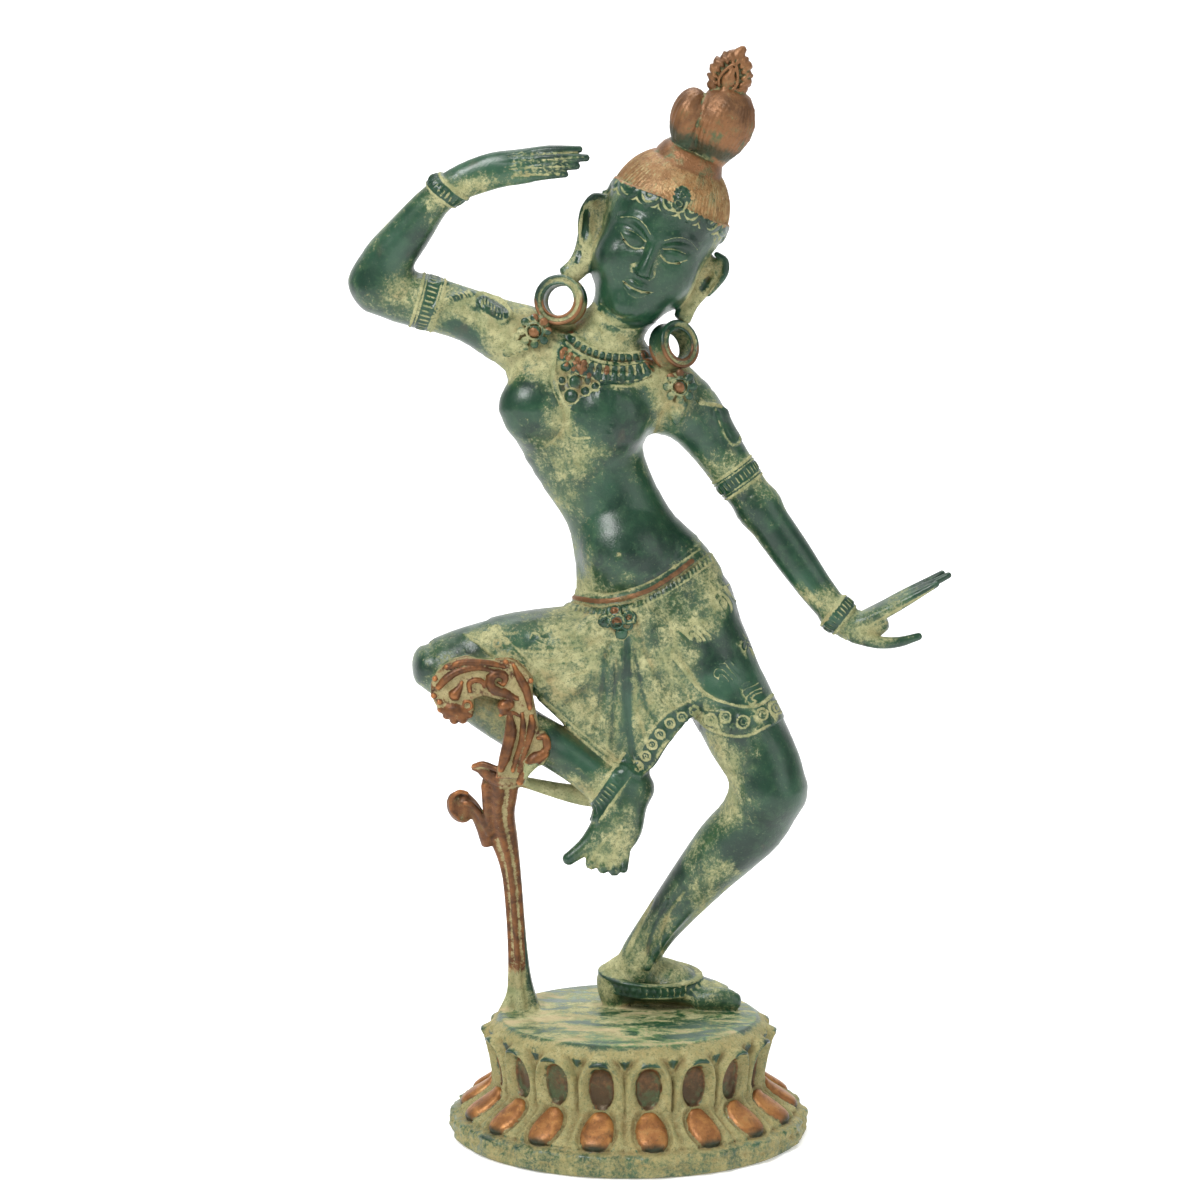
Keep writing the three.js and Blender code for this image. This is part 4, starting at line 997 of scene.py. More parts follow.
between(C1, 6.6, 6.4, 0.24, 2.3)
between([(561, 348), (572, 358.5), (588, 366), (604.5, 370), (623, 371.3), (640, 369.6), (650, 365.6)], 8.2, 9.0, 0.28, 2.3)
for c, nn, i in along(C1, 6.6):
    cell(c - nn * 1.6, c + nn * 1.6, 0.85, 0.75, -2.2)
for c, nn, i in along([(561, 348), (572, 358.5), (588, 366), (604.5, 370), (623, 371.3), (640, 369.6), (650, 365.6)], 8.2):
    red = i < 4 or i == 6
    cell(c - nn * 2.0, c + nn * 2.0, 1.1, 0.95, -2.0, 1.0 if red else 0.0)
    loop(c[0], c[1], 5.2, 0.24, 0.0, cream=0.9, sq=1.1)
for c, nn, i in along([(560, 353), (568, 365), (584, 373), (602.5, 377.2), (622, 378.4), (640, 376), (651, 371)], 8.2):
    cell(c, c + nn * 0.8, 1.0, 0.4, -1.6, 0.7 if i < 5 else 0.0)
cell((581.5, 366), (582.5, 366), 2.3, 1.5, -1.5, 1.0)
loop(582, 366, 8.4, 0.35, 0.45, cream=1.4)
for cx, cy, r, cu in [(566, 367, 1.5, 0.4), (576.5, 382, 2.3, 0), (571, 396, 2.2, 0), (588, 380.5, 1.3, 0.4), (562, 380, 1.1, 0), (585, 391, 1.3, 0), (595, 386, 1.1, 0)]:
    cell((cx - 0.3, cy), (cx + 0.3, cy), r, 1.2, -1.8, cu)
    loop(cx, cy, r * PXMM + 1.3, 0.3, -0.1, cream=2.3)
line([(556, 350), (555, 366), (557, 384), (562, 398), (569, 407.5), (580, 399), (594, 389.5), (610, 385.5), (630, 386.5), (652, 378)], 0.4, 0.35, cream=1.3)
line([(552, 352), (551, 368), (553, 388), (560, 404)], 0.35, -0.3, cream=0.6)

# the face's carved lines, laid out in the head's frame
def on_head(pts, w, h, cream, smooth=True):
    q = project(np.array([hp(*p) for p in pts]))
    line(list(zip(q[0], q[1])), w, h, cream=cream, smooth=smooth)


for s in (-1, 1):
    on_head([(MID + s * 2.6, -19.2, 3.4), (MID + s * 6.4, -19.2, 6.2), (MID + s * 10.6, -17.2, 6.3), (MID + s * 14.6, -13.4, 3.6)], 0.24, -0.1, 1.75)
    on_head([(MID + s * 3.2, -20.4, -1.6), (MID + s * 6.0, -20.2, -3.0), (MID + s * 9.4, -18.6, -2.6), (MID + s * 12.4, -15.6, -0.8)], 0.26, -0.15, 1.9)
    on_head([(MID + s * 3.4, -19.8, 0.6), (MID + s * 7.0, -20.0, 2.0), (MID + s * 11.2, -17.4, 1.6)], 0.2, -0.1, 1.5)
    on_head([(MID + s * 2.2, -21.0, -0.6), (MID + s * 2.6, -20.4, -5.0), (MID + s * 3.9, -19.4, -8.4)], 0.9, 0.0, 0.75)
    on_head([(MID + s * 3.9, -18.8, -8.6), (MID + s * 4.2, -19.0, -10.2), (MID + s * 3.0, -20.4, -11.4)], 0.28, -0.1, 1.2)
on_head([(MID - 5.2, -18.2, -15.7), (MID - 2.6, -20.0, -16.1), (MID, -20.4, -16.2), (MID + 2.6, -20.0, -16.1), (MID + 5.2, -18.2, -15.7)], 0.28, -0.12, 1.7)
on_head([(MID - 4.9, -18.0, -15.0), (MID - 2.0, -20.2, -13.6), (MID, -20.4, -14.0), (MID + 2.0, -20.2, -13.6), (MID + 4.9, -18.0, -15.0)], 0.2, -0.05, 1.0)
on_head([(MID - 4.4, -18.0, -17.2), (MID - 1.7, -20.0, -18.8), (MID + 1.7, -20.0, -18.8), (MID + 4.4, -18.0, -17.2)], 0.2, -0.05, 1.0)
on_head([(MID - 0.2, -21.6, 5.6), (MID + 0.2, -21.6, 5.6)], 0.5, 0.0, 1.8, False)

# ears
line([(592, 203), (585, 207), (581, 222), (580, 238), (584, 246), (590, 240), (591, 222), (592, 203)], 0.3, 0.2, cream=1.6)
cell((587, 214), (585, 234), 1.0, -0.4, -2.0)
cell((580, 252), (577, 262), 0.7, -0.3, -1.3)
line([(712, 271), (716, 280), (709, 292), (701, 299)], 0.3, 0.2, cream=1.4)
cell((708, 279), (703, 288), 0.8, -0.4, -1.8)
# the jewel on the hair over the brow
for cx, cy, r in [(676, 187.5, 2.6), (683, 194.5, 3.4), (691.5, 195.5, 2.6), (678.5, 203.8, 3.6)]:
    cell((cx - 0.2, cy), (cx + 0.2, cy), r / PXMM + 0.55, 0.5, -1.6)
    loop(cx, cy, r, 0.26, 0.4, cream=2.6)
    dot(cx, cy, 0.35, 0.25, cream=2.0)
line([(673, 199), (671.5, 206), (676, 212), (683, 211), (687, 203)], 0.28, 0.3, cream=2.2)

# neck creases
line([(592, 320), (608, 336), (628, 339)], 0.4, -0.35)
line([(596, 312), (618, 328), (634, 330)], 0.3, -0.25)
line([(600, 304), (618, 317), (632, 316)], 0.4, -0.35)
# under the breasts, between them, the armpit
line([(563, 406), (565, 420), (560, 434), (546, 447)], 0.4, -0.4, cream=0.9)
line([(569, 408), (569, 436), (590, 438)], 0.35, -0.3)
loop(524, 422, 4.4, 0.28, 0.2, cream=0.6)
loop(610, 431, 4.0, 0.28, 0.2, cream=0.5, a0=-80, a1=110)
line([(662, 412), (656, 430), (645, 447)], 0.4, -0.4, cream=0.6)
line([(560, 402), (564, 420)], 0.35, -0.3)
# the belt
line([(573, 587), (601, 594), (623, 591.6), (650, 582), (674, 567), (700, 549)], 0.3, -0.3, cream=0.9)
line([(572, 597), (590, 600.5), (605.5, 601), (625.5, 598), (650, 589.5), (674.5, 574.5), (692, 561)], 1.05, 0.75, cream=0.0, copper=1.0)
line([(574, 603), (590, 606), (605.5, 606.4), (625.5, 603), (650, 594.5), (674.5, 579.5), (699, 561), (711, 552)], 0.35, -0.35, cream=0.5)
BELT = [(574, 608), (590, 610.5), (605.5, 611), (625.5, 607.6), (650, 598.6), (674.5, 584), (699, 566.5), (712, 557)]
line([(574, 612), (590, 615), (605.5, 615.4), (625.5, 612), (650, 602.6), (674.5, 588.5), (699, 571.5), (713, 562)], 0.3, 0.25, cream=0.9)
ticks(BELT, 4.4, 6.0, 0.3, -0.35, cream=-0.6, lean=-0.25)
line([(650, 577), (674, 562), (700, 543)], 0.28, 0.2, cream=0.4)
dot(619, 555, 0.9, -0.6, cream=0.5)
cell((616.4, 622), (617, 622), 1.9, 0.7, -1.8, 1.0)
loop(616.7, 622, 7.0, 0.35, 0.4, cream=1.2)
for cx, cy, cu in [(614.4, 610.5, 1.0), (629, 617, 0.6), (604.5, 622, 0.0), (622, 634, 0.5)]:
    cell((cx - 0.3, cy), (cx + 0.3, cy), 1.4, 0.6, -1.8, cu)
    loop(cx, cy, 5.6, 0.32, 0.35, cream=1.2)
for cx, cy in [(600, 614), (634, 607), (637, 619), (601, 630)]:
    loop(cx, cy, 4.2, 0.3, 0.25, cream=1.0, a0=20, a1=200)
# folds of the apron
for pts, w, h, c in [
        ([(628, 640), (626.7, 684), (628, 718), (634, 764)], 0.9, -0.75, -0.9), ([(616.7, 660), (614, 695.6), (611, 742)], 0.7, -0.6, -0.6),
        ([(606, 655), (601, 695.6), (594, 728)], 0.7, -0.55, -0.4), ([(610, 642), (594.4, 677.8), (563, 706)], 0.7, -0.5, -0.4),
        ([(605.6, 638), (583, 664), (550, 679)], 0.6, -0.4, -0.2), ([(601, 635.6), (579, 651), (549, 661)], 0.6, -0.4, 0.2),
        ([(639, 632), (654, 673), (674, 695.6), (690, 707)], 0.7, -0.5, -0.2), ([(634, 650), (641, 682), (648, 709), (664, 728)], 0.8, -0.6, -0.6),
        ([(636.7, 686.7), (634.4, 700), (639, 718), (650, 750)], 0.6, -0.45, 0.2), ([(645, 690), (650, 705), (646, 722)], 0.5, -0.35, 0.2), ([(670, 622), (680, 655), (700, 688)], 0.7, -0.4, 0.3),
        ([(622, 650), (620, 700), (621, 755)], 0.7, 0.4, -0.2), ([(611, 650), (607, 700), (602, 738)], 0.7, 0.35, 0.1), ([(632, 655), (634, 690)], 0.6, 0.35, 0.2),
        ([(647, 660), (660, 695), (676, 712)], 0.7, 0.35, 0.2), ([(660, 640), (668, 668), (688, 694)], 0.7, 0.3, 0.3), ([(596, 655), (580, 682), (556, 700)], 0.7, 0.3, 0.3)]:
    line(pts, w, h, cream=c)
# the apron's border
line([(696, 709), (682, 716.5), (670, 723), (660, 734), (652, 744.5), (645.6, 756), (636, 770)], 2.0, -0.15, cream=-1.7)
for cx, cy in [(694, 711), (682, 716.5), (670, 723), (660, 734), (652, 744.5), (645.6, 756), (638, 766)]:
    loop(cx, cy, 4.6, 0.40, 0.4, cream=2.8)
    loop(cx, cy, 1.6, 0.28, 0.3, cream=2.2)
line([(690, 700), (668, 712), (652, 730), (640, 752), (628, 768)], 0.4, 0.3, cream=0.9)
line([(686, 719), (677, 733), (665.6, 743), (654, 762), (640, 777)], 0.5, 0.35, cream=0.9)
line([(556, 716), (580, 738), (606, 760), (628, 772)], 0.45, 0.3, cream=0.7)
line([(550, 706), (575, 727), (600, 748), (620, 762)], 0.35, -0.3, cream=0.7)
# the standing leg's hem, with its row of rings, and the sprigs above it
line([(672, 655), (685.6, 671), (705.6, 694), (739, 706), (759, 704.6), (776, 692)], 0.5, 0.5, cream=2.0)
line([(690, 708), (705.6, 727), (732, 736), (750, 735), (770, 725)], 0.4, 0.4, cream=1.7)
line([(690, 702), (705, 709), (722, 711)], 0.35, 0.25, cream=0.9)
for cx, cy, r in [(698, 716, 4.2), (710, 719.6, 5.3), (725.6, 717, 5.6), (743, 722, 6.2), (762, 714.4, 5.8), (776, 708, 6.6)]:
    loop(cx, cy, r, 0.34, 0.35, cream=1.7)
    loop(cx + 0.5, cy, r * 0.45, 0.26, 0.25, cream=1.0)
for cx, cy in [(734, 727), (752.5, 719), (718, 725)]:
    loop(cx, cy, 3.2, 0.3, 0.2, cream=0.8, a0=150, a1=360)
for cx, cy, q in [(724, 597, 0.2), (697, 633, 0.1), (751, 646, 0.1), (724, 673, 0.05), (752, 694, -1.2)]:
    c, s = 0.82 * math.cos(q - 0.45), 0.82 * math.sin(q - 0.45)
    for pts in [[(-9, 5), (-12, -2), (-8, -8), (-2, -6), (3, 2), (6, 12)], [(-4, -10), (2, -12), (7, -7), (9, 1), (13, 9)], [(5, -12), (10, -13), (14, -8), (15, -1)], [(-8, 3), (-5, -1), (-1, 4), (1, 12)]]:
        line([(cx + (a * c - b * s), cy + (a * s + b * c)) for a, b in pts], 0.27, 0.22, cream=2.1)
# the raised thigh: its hem and swirls
line([(464, 634), (482.5, 647), (505, 668), (530, 690.5), (565, 720)], 0.5, 0.35, cream=0.8)
line([(490, 625), (515, 647.5), (545, 676)], 0.4, 0.3, cream=0.8)
for cx, cy in [(486, 636), (497, 643), (512, 655), (526, 668), (541, 682)]:
    loop(cx, cy, 4.0, 0.34, 0.28, cream=0.8)
for cx, cy in [(499, 630), (538, 637), (556, 630), (572, 655)]:
    line([(cx - 8, cy + 2), (cx - 5, cy - 4), (cx, cy - 4), (cx + 2, cy + 1), (cx + 8, cy + 3)], 0.26, 0.2, cream=0.8)
    line([(cx - 3, cy + 4), (cx + 1, cy + 6), (cx + 6, cy + 8)], 0.24, 0.18, cream=0.7)
line([(530, 660), (560, 661), (590, 652.5)], 0.5, -0.35, cream=0.6)
line([(547.5, 681), (570, 676), (587.5, 671)], 0.5, -0.35, cream=0.6)
line([(520, 650), (550, 652), (580, 645)], 0.45, -0.3, cream=0.5)
# behind: the waist cord, folds and the hem
for k in range(9):
    x = 588 + k * 15
    line([(620 + k * 7, 606 - k * 4), (x + 6 + k * 1.5, 650 - k * 3), (x + k * 3.0, 716 - k * 1.5)], 0.8, -0.45, -1, 0.2)
line([(575, 603), (600, 612), (625, 610), (655, 598), (690, 572), (710, 556)], 0.7, 0.5, -1, 0.3)
ticks([(575, 609), (600, 618), (625, 616), (655, 604), (690, 578), (712, 561)], 5.5, 5.5, 0.3, -0.3, -1, -0.2)
line([(690, 700), (715, 722), (745, 724), (775, 702)], 0.45, 0.35, -1, 0.9)
line([(466, 634), (500, 656), (545, 684), (590, 712)], 0.45, 0.35, -1, 0.9)
# raised ankle: the ring's edges and ticks; the foot
line([(610, 834), (598, 849), (592, 860)], 0.35, -0.3, cream=0.9)
line([(622, 826), (615, 848), (611, 862)], 0.3, -0.22, cream=0.7)
for cx, cy in [(588.5, 871), (601.5, 876), (614.5, 877)]:
    loop(cx, cy, 3.2, 0.3, 0.22, cream=0.8, sq=1.25)
line([(652, 900), (640, 925), (628, 950)], 0.6, -0.4, cream=1.0)
line([(668, 900), (655, 925), (648, 950), (655, 962)], 0.55, -0.45, cream=-0.9)
line([(684, 892), (668, 915), (660, 938), (664, 955), (674, 962)], 0.5, -0.45, cream=0.35)
line([(640, 905), (628, 925), (618, 945)], 0.45, -0.3, cream=0.8)
# straps of the armlets and their leaves
line([(480, 300), (486, 309), (500, 316), (510, 314)], 0.5, 0.45, cream=0.4)
line([(482, 307), (490, 316), (503, 320), (512, 316)], 0.35, 0.3, cream=0.6)
line([(481, 299), (494, 299), (505, 304), (512, 313)], 0.5, 0.45, cream=0.4)
cell((482, 304), (503, 316), 2.5, 0.9, -1.9)
line([(474, 297), (482, 293), (497, 297), (508, 308), (509, 318), (500, 322), (486, 315), (475, 304), (474, 297)], 0.5, 0.5, cream=1.6)
ticks([(480, 301), (492, 308), (505, 316)], 3.4, 8.0, 0.26, 0.25, cream=1.9, lean=0.5)
line([(432, 310), (448, 300), (462, 296), (473, 294)], 1.1, 0.8, cream=-1.3)
ticks([(432, 310), (448, 300), (462, 296), (473, 294)], 3.6, 6.0, 0.3, 0.1, cream=1.9, lean=0.7)
line([(436, 284), (450, 284), (466, 290)], 0.6, 0.5, cream=-0.6)
line([(470, 292), (476, 300), (484, 303)], 0.4, 0.3, cream=0.7)
cell((722, 414), (733, 434), 1.9, 0.5, -1.6)
line([(700, 403), (712, 404), (720, 406), (728, 414), (735, 425), (740, 440), (733, 445), (725, 436), (721, 424), (716, 410)], 0.5, 0.55, cream=1.5)
line([(700, 398), (710, 406), (716, 404)], 0.4, 0.3, cream=0.7)
# lines of the fingers and nails
for a, b in [((508, 156), (578, 152)), ((510, 162), (584, 157)), ((509, 169), (574, 166)), ((512, 176), (560, 174))]:
    line([a, b], 0.22, -0.25, cream=0.75)
for x in range(513, 572, 6):
    ticks([(x, 152), (x + 3, 176)], 3.0, 3.0, 0.2, 0.1, cream=0.9, lean=0.4)
line([(866, 628), (890, 614), (920, 597), (936, 587)], 0.3, -0.25, cream=1.2)
line([(868, 632), (892, 620), (922, 604)], 0.25, -0.2, cream=1.0)

BANDS = []  # (centre, direction, outer reach, [(offset, half width, height, cream, copper)], (ticks, offset, half width, depth))


def ring_band(c, d, reach, rings, tick=None):
    BANDS.append((np.array(c, float), np.array(d, float) / np.linalg.norm(d), reach, rings, tick))


ring_band((-71.4, 3.4, 301.8), (-0.95, -0.1, 0.28), 15, [(0, 3.6, 0.2, -1.2, 0), (-3.8, 0.45, 0.6, 2.4, 0), (-2.6, 0.35, 0.35, 2.0, 0), (2.6, 0.35, 0.35, 2.0, 0), (3.8, 0.45, 0.6, 2.4, 0)], (34, 0.0, 1.8, 0.45))
ring_band((39.2, 6, 239.4), (0.58, -0.05, -0.8), 12.5, [(0, 3.4, 0.2, -1.4, 0), (-3.8, 0.4, 0.5, 2.2, 0), (-2.6, 0.3, 0.4, 2.2, 0), (2.2, 0.3, 0.4, 2.2, 0), (3.5, 0.4, 0.5, 2.2, 0)], (30, -0.2, 1.5, 0.45))
ring_band((-63.6, -9.2, 341.2), (0.62, -0.2, 0.72), 10.5, [(0, 2.7, 0.7, -1.3, 0), (-2.7, 0.5, 0.6, 2.2, 0), (2.7, 0.5, 0.6, 2.2, 0)], (24, 0.0, 1.6, 0.5))
ring_band((75.4, -1.9, 191.6), (0.78, -0.15, -0.6), 10.5, [(0, 2.7, 0.7, -1.3, 0), (-2.7, 0.5, 0.6, 2.2, 0), (2.7, 0.5, 0.6, 2.2, 0)], (24, 0.0, 1.6, 0.5))
ring_band((-6.6, -12.6, 130.2), (0.82, -0.1, -0.57), 13.5, [(0, 3.2, 0.4, -1.2, 0), (-3.2, 0.55, 0.5, 2.2, 0), (3.2, 0.55, 0.5, 2.2, 0)], (30, 0.0, 1.9, 0.45))


def facing(P, N):
    V = P - CAM
    V /= np.linalg.norm(V, axis=1, keepdims=True)
    return -(N * V).sum(1)


SKIRT = np.array([(552, 600), (574, 603), (600, 608), (625, 605), (650, 596), (675, 581), (700, 562), (714, 548), (735, 610), (760, 668), (786, 716), (776, 724), (758, 732), (738, 735.5), (716, 730), (703, 724), (694, 716),
                  (683, 722), (672, 738), (656, 762), (641, 779), (624, 774), (604, 762), (580, 742), (545, 706), (500, 665), (466, 634), (500, 612)], float)


def outline_distance(px, py, A):
    """Distance in px to a closed outline, positive inside."""
    d = np.full(px.shape, 1e9)
    inside = np.zeros(px.shape, bool)
    for i in range(len(A)):
        a, b = A[i], A[(i + 1) % len(A)]
        e = b - a
        s = np.clip(((px - a[0]) * e[0] + (py - a[1]) * e[1]) / (e @ e), 0, 1)
        d = np.minimum(d, (px - a[0] - s * e[0]) ** 2 + (py - a[1] - s * e[1]) ** 2)
        inside ^= ((a[1] > py) != (b[1] > py)) & (px < e[0] * (py - a[1]) / (e[1] + 1e-12) + a[0])
    return np.where(inside, 1, -1) * np.sqrt(d)


def head_frame(P):
    Q = P - HC
    return Q @ RIGHT, Q @ BACK, Q @ UP


def hairline(x, y):
    """Height of the hair's edge in the head's frame: high over the brow, low behind the ears."""
    front = 12.4 - 0.008 * (x + 1.0) ** 2
    return np.where(y < 0, front, front - 0.055 * np.clip(y, 0, 30) ** 2 - 0.9 * np.clip(y, 0, 14))


def details(P, N):
    """Relief along the normal in millimetres, and what it does to the finish: cream and copper."""
    px, py = project(P)
    fc = facing(P, N)
    front = soft(0.0, 0.22, fc)
    backf = soft(0.0, 0.22, -fc)
    D = np.zeros(len(P))
    cream = np.zeros(len(P))
    copper = np.zeros(len(P))
    fig = P[:, 2] > 44.5
    scroll = BARE_LEG.beyond(P, 0.95, 1.35) * soft(44.3, 45.2, P[:, 2])
    body = fig * (1 - np.clip(scroll * 2, 0, 1))
    order = np.argsort(px, kind="stable")
    sx = px[order]
    for pts, w, h, side, cr, cu, sharp in LINES:
        r = max(w * 2.4, 0.9) * PXMM
        lo, hi = pts.min(0) - r, pts.max(0) + r
        i0, i1 = np.searchsorted(sx, [lo[0], hi[0]])
        idx = order[i0:i1]
        idx = idx[(py[idx] > lo[1]) & (py[idx] < hi[1])]
        idx = idx[(body[idx] > 0.3) & ((front if side > 0 else backf)[idx] > 0)]
        if not len(idx):
            continue
        x, y = px[idx], py[idx]
        d = np.full(len(idx), 1e9)
        for a, b in zip(pts[:-1], pts[1:]):
            e = b - a
            s = np.clip(((x - a[0]) * e[0] + (y - a[1]) * e[1]) / (e @ e + 1e-9), 0, 1)
            d = np.minimum(d, (x - a[0] - s * e[0]) ** 2 + (y - a[1] - s * e[1]) ** 2)
        on = body[idx] * (front if side > 0 else backf)[idx]
        g = np.exp(-(d / (w * PXMM) ** 2) ** sharp) * on
        D[idx] += g * h * (1.25 if sharp == 1 else 1.0)
        cream[idx] += np.exp(-(d / (1.25 * w * PXMM) ** 2) ** max(sharp, 2)) * on * cr
        copper[idx] = np.maximum(copper[idx], g * cu)
    for c, d, reach, rings, tick in BANDS:
        Q = P - c
        m = np.where((np.einsum("ij,ij->i", Q, Q) < (reach + 6) ** 2))[0]
        Q = Q[m]
        t = Q @ d
        rad = Q - t[:, None] * d
        rr = np.linalg.norm(rad, axis=1)
        ok = (rr < reach).astype(float) * body[m]
        # only the limb that the band goes round
        ok *= soft(-0.35, 0.1, (N[m] * rad).sum(1) / (rr + 1e-9))
        for o, w, h, cr, cu in rings:
            g = (np.exp(-((t - o) / w) ** 2) if w < 2 else np.exp(-((t - o) / w) ** 8)) * ok
            D[m] += g * h
            cream[m] += g * cr
        if tick:
            n, o, w, h = tick
            M = basis(d)
            q = np.arctan2(Q @ M[1], Q @ M[0])
            g = (0.5 + 0.5 * np.cos(n * q)) ** 3 * np.exp(-((t - o) / w) ** 6) * ok
            D[m] += g * h
            cream[m] += g * 2.2
    plate = soft(-1.0, 1.5, outline_distance(px, py, PLATE)) * body * (fc > 0.05) * (P[:, 1] < 0) * (P[:, 2] > 255)
    cream -= 0.95 * plate
    # the cloth of the skirt stands a little proud of the leg
    sd = outline_distance(px, py, SKIRT) / PXMM
    cloth = soft(-0.1, 0.5, sd) * body * ((P[:, 2] > 133) & (P[:, 2] < 214)) * (np.abs(P[:, 0]) < 70)
    shin = np.zeros(len(P))
    m = np.where((P[:, 2] < 168) & (P[:, 2] > 120) & (P[:, 0] < 8) & (P[:, 0] > -66))[0]
    if len(m):
        q = LIMBS["shin_r"].sdf(P[m, 0].astype(f32), P[m, 1].astype(f32), P[m, 2].astype(f32), 3.0)
        shin[m] = (1 - soft(0.2, 0.9, q)) * (P[m, 1] > -30)
    cloth = cloth * (1 - shin)
    D += 0.6 * cloth
    # hair
    x, y, z = head_frame(P)
    headz = soft(-2, 0, z + 13 * soft(3, 9, y) * soft(18.5, 16.5, np.abs(x))) * (np.sqrt(x ** 2 + y ** 2 + (z - 8) ** 2) < 29)
    cap = headz * soft(-0.5, 0.5, z - hairline(x, y)) * (1 - soft(26.4, 27.2, z)) * (np.abs(x + 0.4) < 23.5)
    phi = np.arctan2(x - 1.8, -(y - 3.2))
    rim = z - hairline(x, y)
    lap = cap * (y < 4) * (1 - soft(4.2, 4.8, rim))
    jewel = headz * (fc > 0.1) * (1 - soft(8.5, 9.5, np.hypot(px - 682, (py - 197) * 0.8)))
    # lappets along the brow: concentric arcs in scallops
    s = (x + 1.0) / 7.6
    sc = (s - np.round(s)) * 7.6
    dd = np.sqrt((sc / 3.9) ** 2 + ((rim - 4.6) / 4.4) ** 2)
    arcs = 0.5 + 0.5 * np.cos(dd * 2 * math.pi * 2.1)
    D += lap * (1 - jewel) * (0.8 * (1 - soft(0.98, 1.08, dd)) + 0.40 * (0.5 - arcs))
    cream += lap * (1 - jewel) * (2.4 * (1 - arcs) ** 2.5 - 1.0)
    strands_ = (0.5 + 0.5 * np.cos(82 * phi + 1.6 * np.sin(z * 0.35 + phi * 3))) ** 2
    top = cap * (1 - lap) * (1 - jewel)
    D += top * (0.34 * strands_ - 0.17)
    cream += top * 1.1 * (1 - strands_)
    copper = np.maximum(copper, top)
    band = headz * soft(26.0, 26.6, z) * (z < 33.4) * (np.hypot(x - 1.8, y - 3.2) < 15.5)
    copper = np.maximum(copper, band)
    bun = (z > 32.6) * (np.abs(x - 4) < 24) * (P[:, 2] > 340)
    bz = soft(33, 36, z) * (1 - soft(53, 56, z)) * bun
    left = x < -1.6
    ang = np.where(left, np.arctan2(x + 3.6, -(y - 4)), np.arctan2(x - 6.6, -(y - 3.8)))
    st2 = (0.5 + 0.5 * np.cos(np.where(left, 26, 38) * ang)) ** 2
    D += bz * (0.3 * st2 - 0.15)
    cream += bz * -0.1
    copper = np.maximum(copper, bun * 1.0)
    # the ring on the standing foot: pale bars and rims on a dark band
    Q = (P - AC) @ MA.T
    rq = np.sqrt((Q[:, 0] / 17.6) ** 2 + (Q[:, 1] / 11.4) ** 2)
    ringz = soft(0.94, 1.0, rq) * soft(1.24, 1.18, rq) * soft(3.6, 3.1, np.abs(Q[:, 2])) * (P[:, 2] > 44.5) * soft(-14.5, -10.5, Q[:, 0])
    aq = np.arctan2(Q[:, 1] / 12.7, Q[:, 0] / 18.9)
    cream += ringz * (-1.1 + 2.6 * (0.5 + 0.5 * np.cos(46 * aq)) ** 2 * soft(2.0, 1.5, np.abs(Q[:, 2])) + 2.2 * soft(1.8, 2.2, np.abs(Q[:, 2])))
    # scroll
    copper = np.maximum(copper, scroll * soft(55, 61, P[:, 2]) * (P[:, 2] < 186) * (P[:, 0] < -24))
    coil = (px < 497) & (py > 770) & (py < 850)
    groove = scroll * ~coil * (1 - GROUND.beyond(P, 0.04, 0.34)) * soft(60, 66, P[:, 2]) * (P[:, 0] < -24)
    cream += groove * 2.0
    link = scroll * (P[:, 0] > -37.5) * (P[:, 2] < 141) * (P[:, 2] > 112)
    copper *= 1 - link
    cream += link * 0.7
    return D, cream, copper, cloth, scroll, shin, cap, lap, bun, band


def zones(P):
    """0 plain skin, 1 carved parts, 2 the face, the collar and the rosettes."""
    px, py = project(P)
    out = np.zeros(len(P), np.int8)
    for x0, y0, x1, y1, yb in [(560, 40, 780, 240, 12), (455, 540, 800, 785, 8), (425, 650, 580, 880, 2), (440, 270, 520, 330, 6), (700, 390, 760, 470, 14), (560, 740, 640, 890, 4), (590, 900, 750, 1012, 20), (428, 140, 600, 200, 4), (810, 560, 955, 650, 6), (525, 170, 735, 380, 6), (495, 300, 570, 370, 4)]:
        out[(px > x0) & (px < x1) & (py > y0) & (py < y1) & (P[:, 1] < yb)] = 1
    out[(P[:, 2] < 44.6) & (P[:, 2] > 0.6) & (P[:, 1] < 14) & (np.hypot(P[:, 0], P[:, 1] / OV) > 45)] = 1
    for x0, y0, x1, y1, yb in [(592, 200, 735, 330, 2), (548, 325, 662, 412, 4), (512, 312, 562, 362, 2), (660, 370, 694, 420, 3), (588, 600, 645, 645, 2)]:
        out[(px > x0) & (px < x1) & (py > y0) & (py < y1) & (P[:, 1] < yb)] = 2
    return out


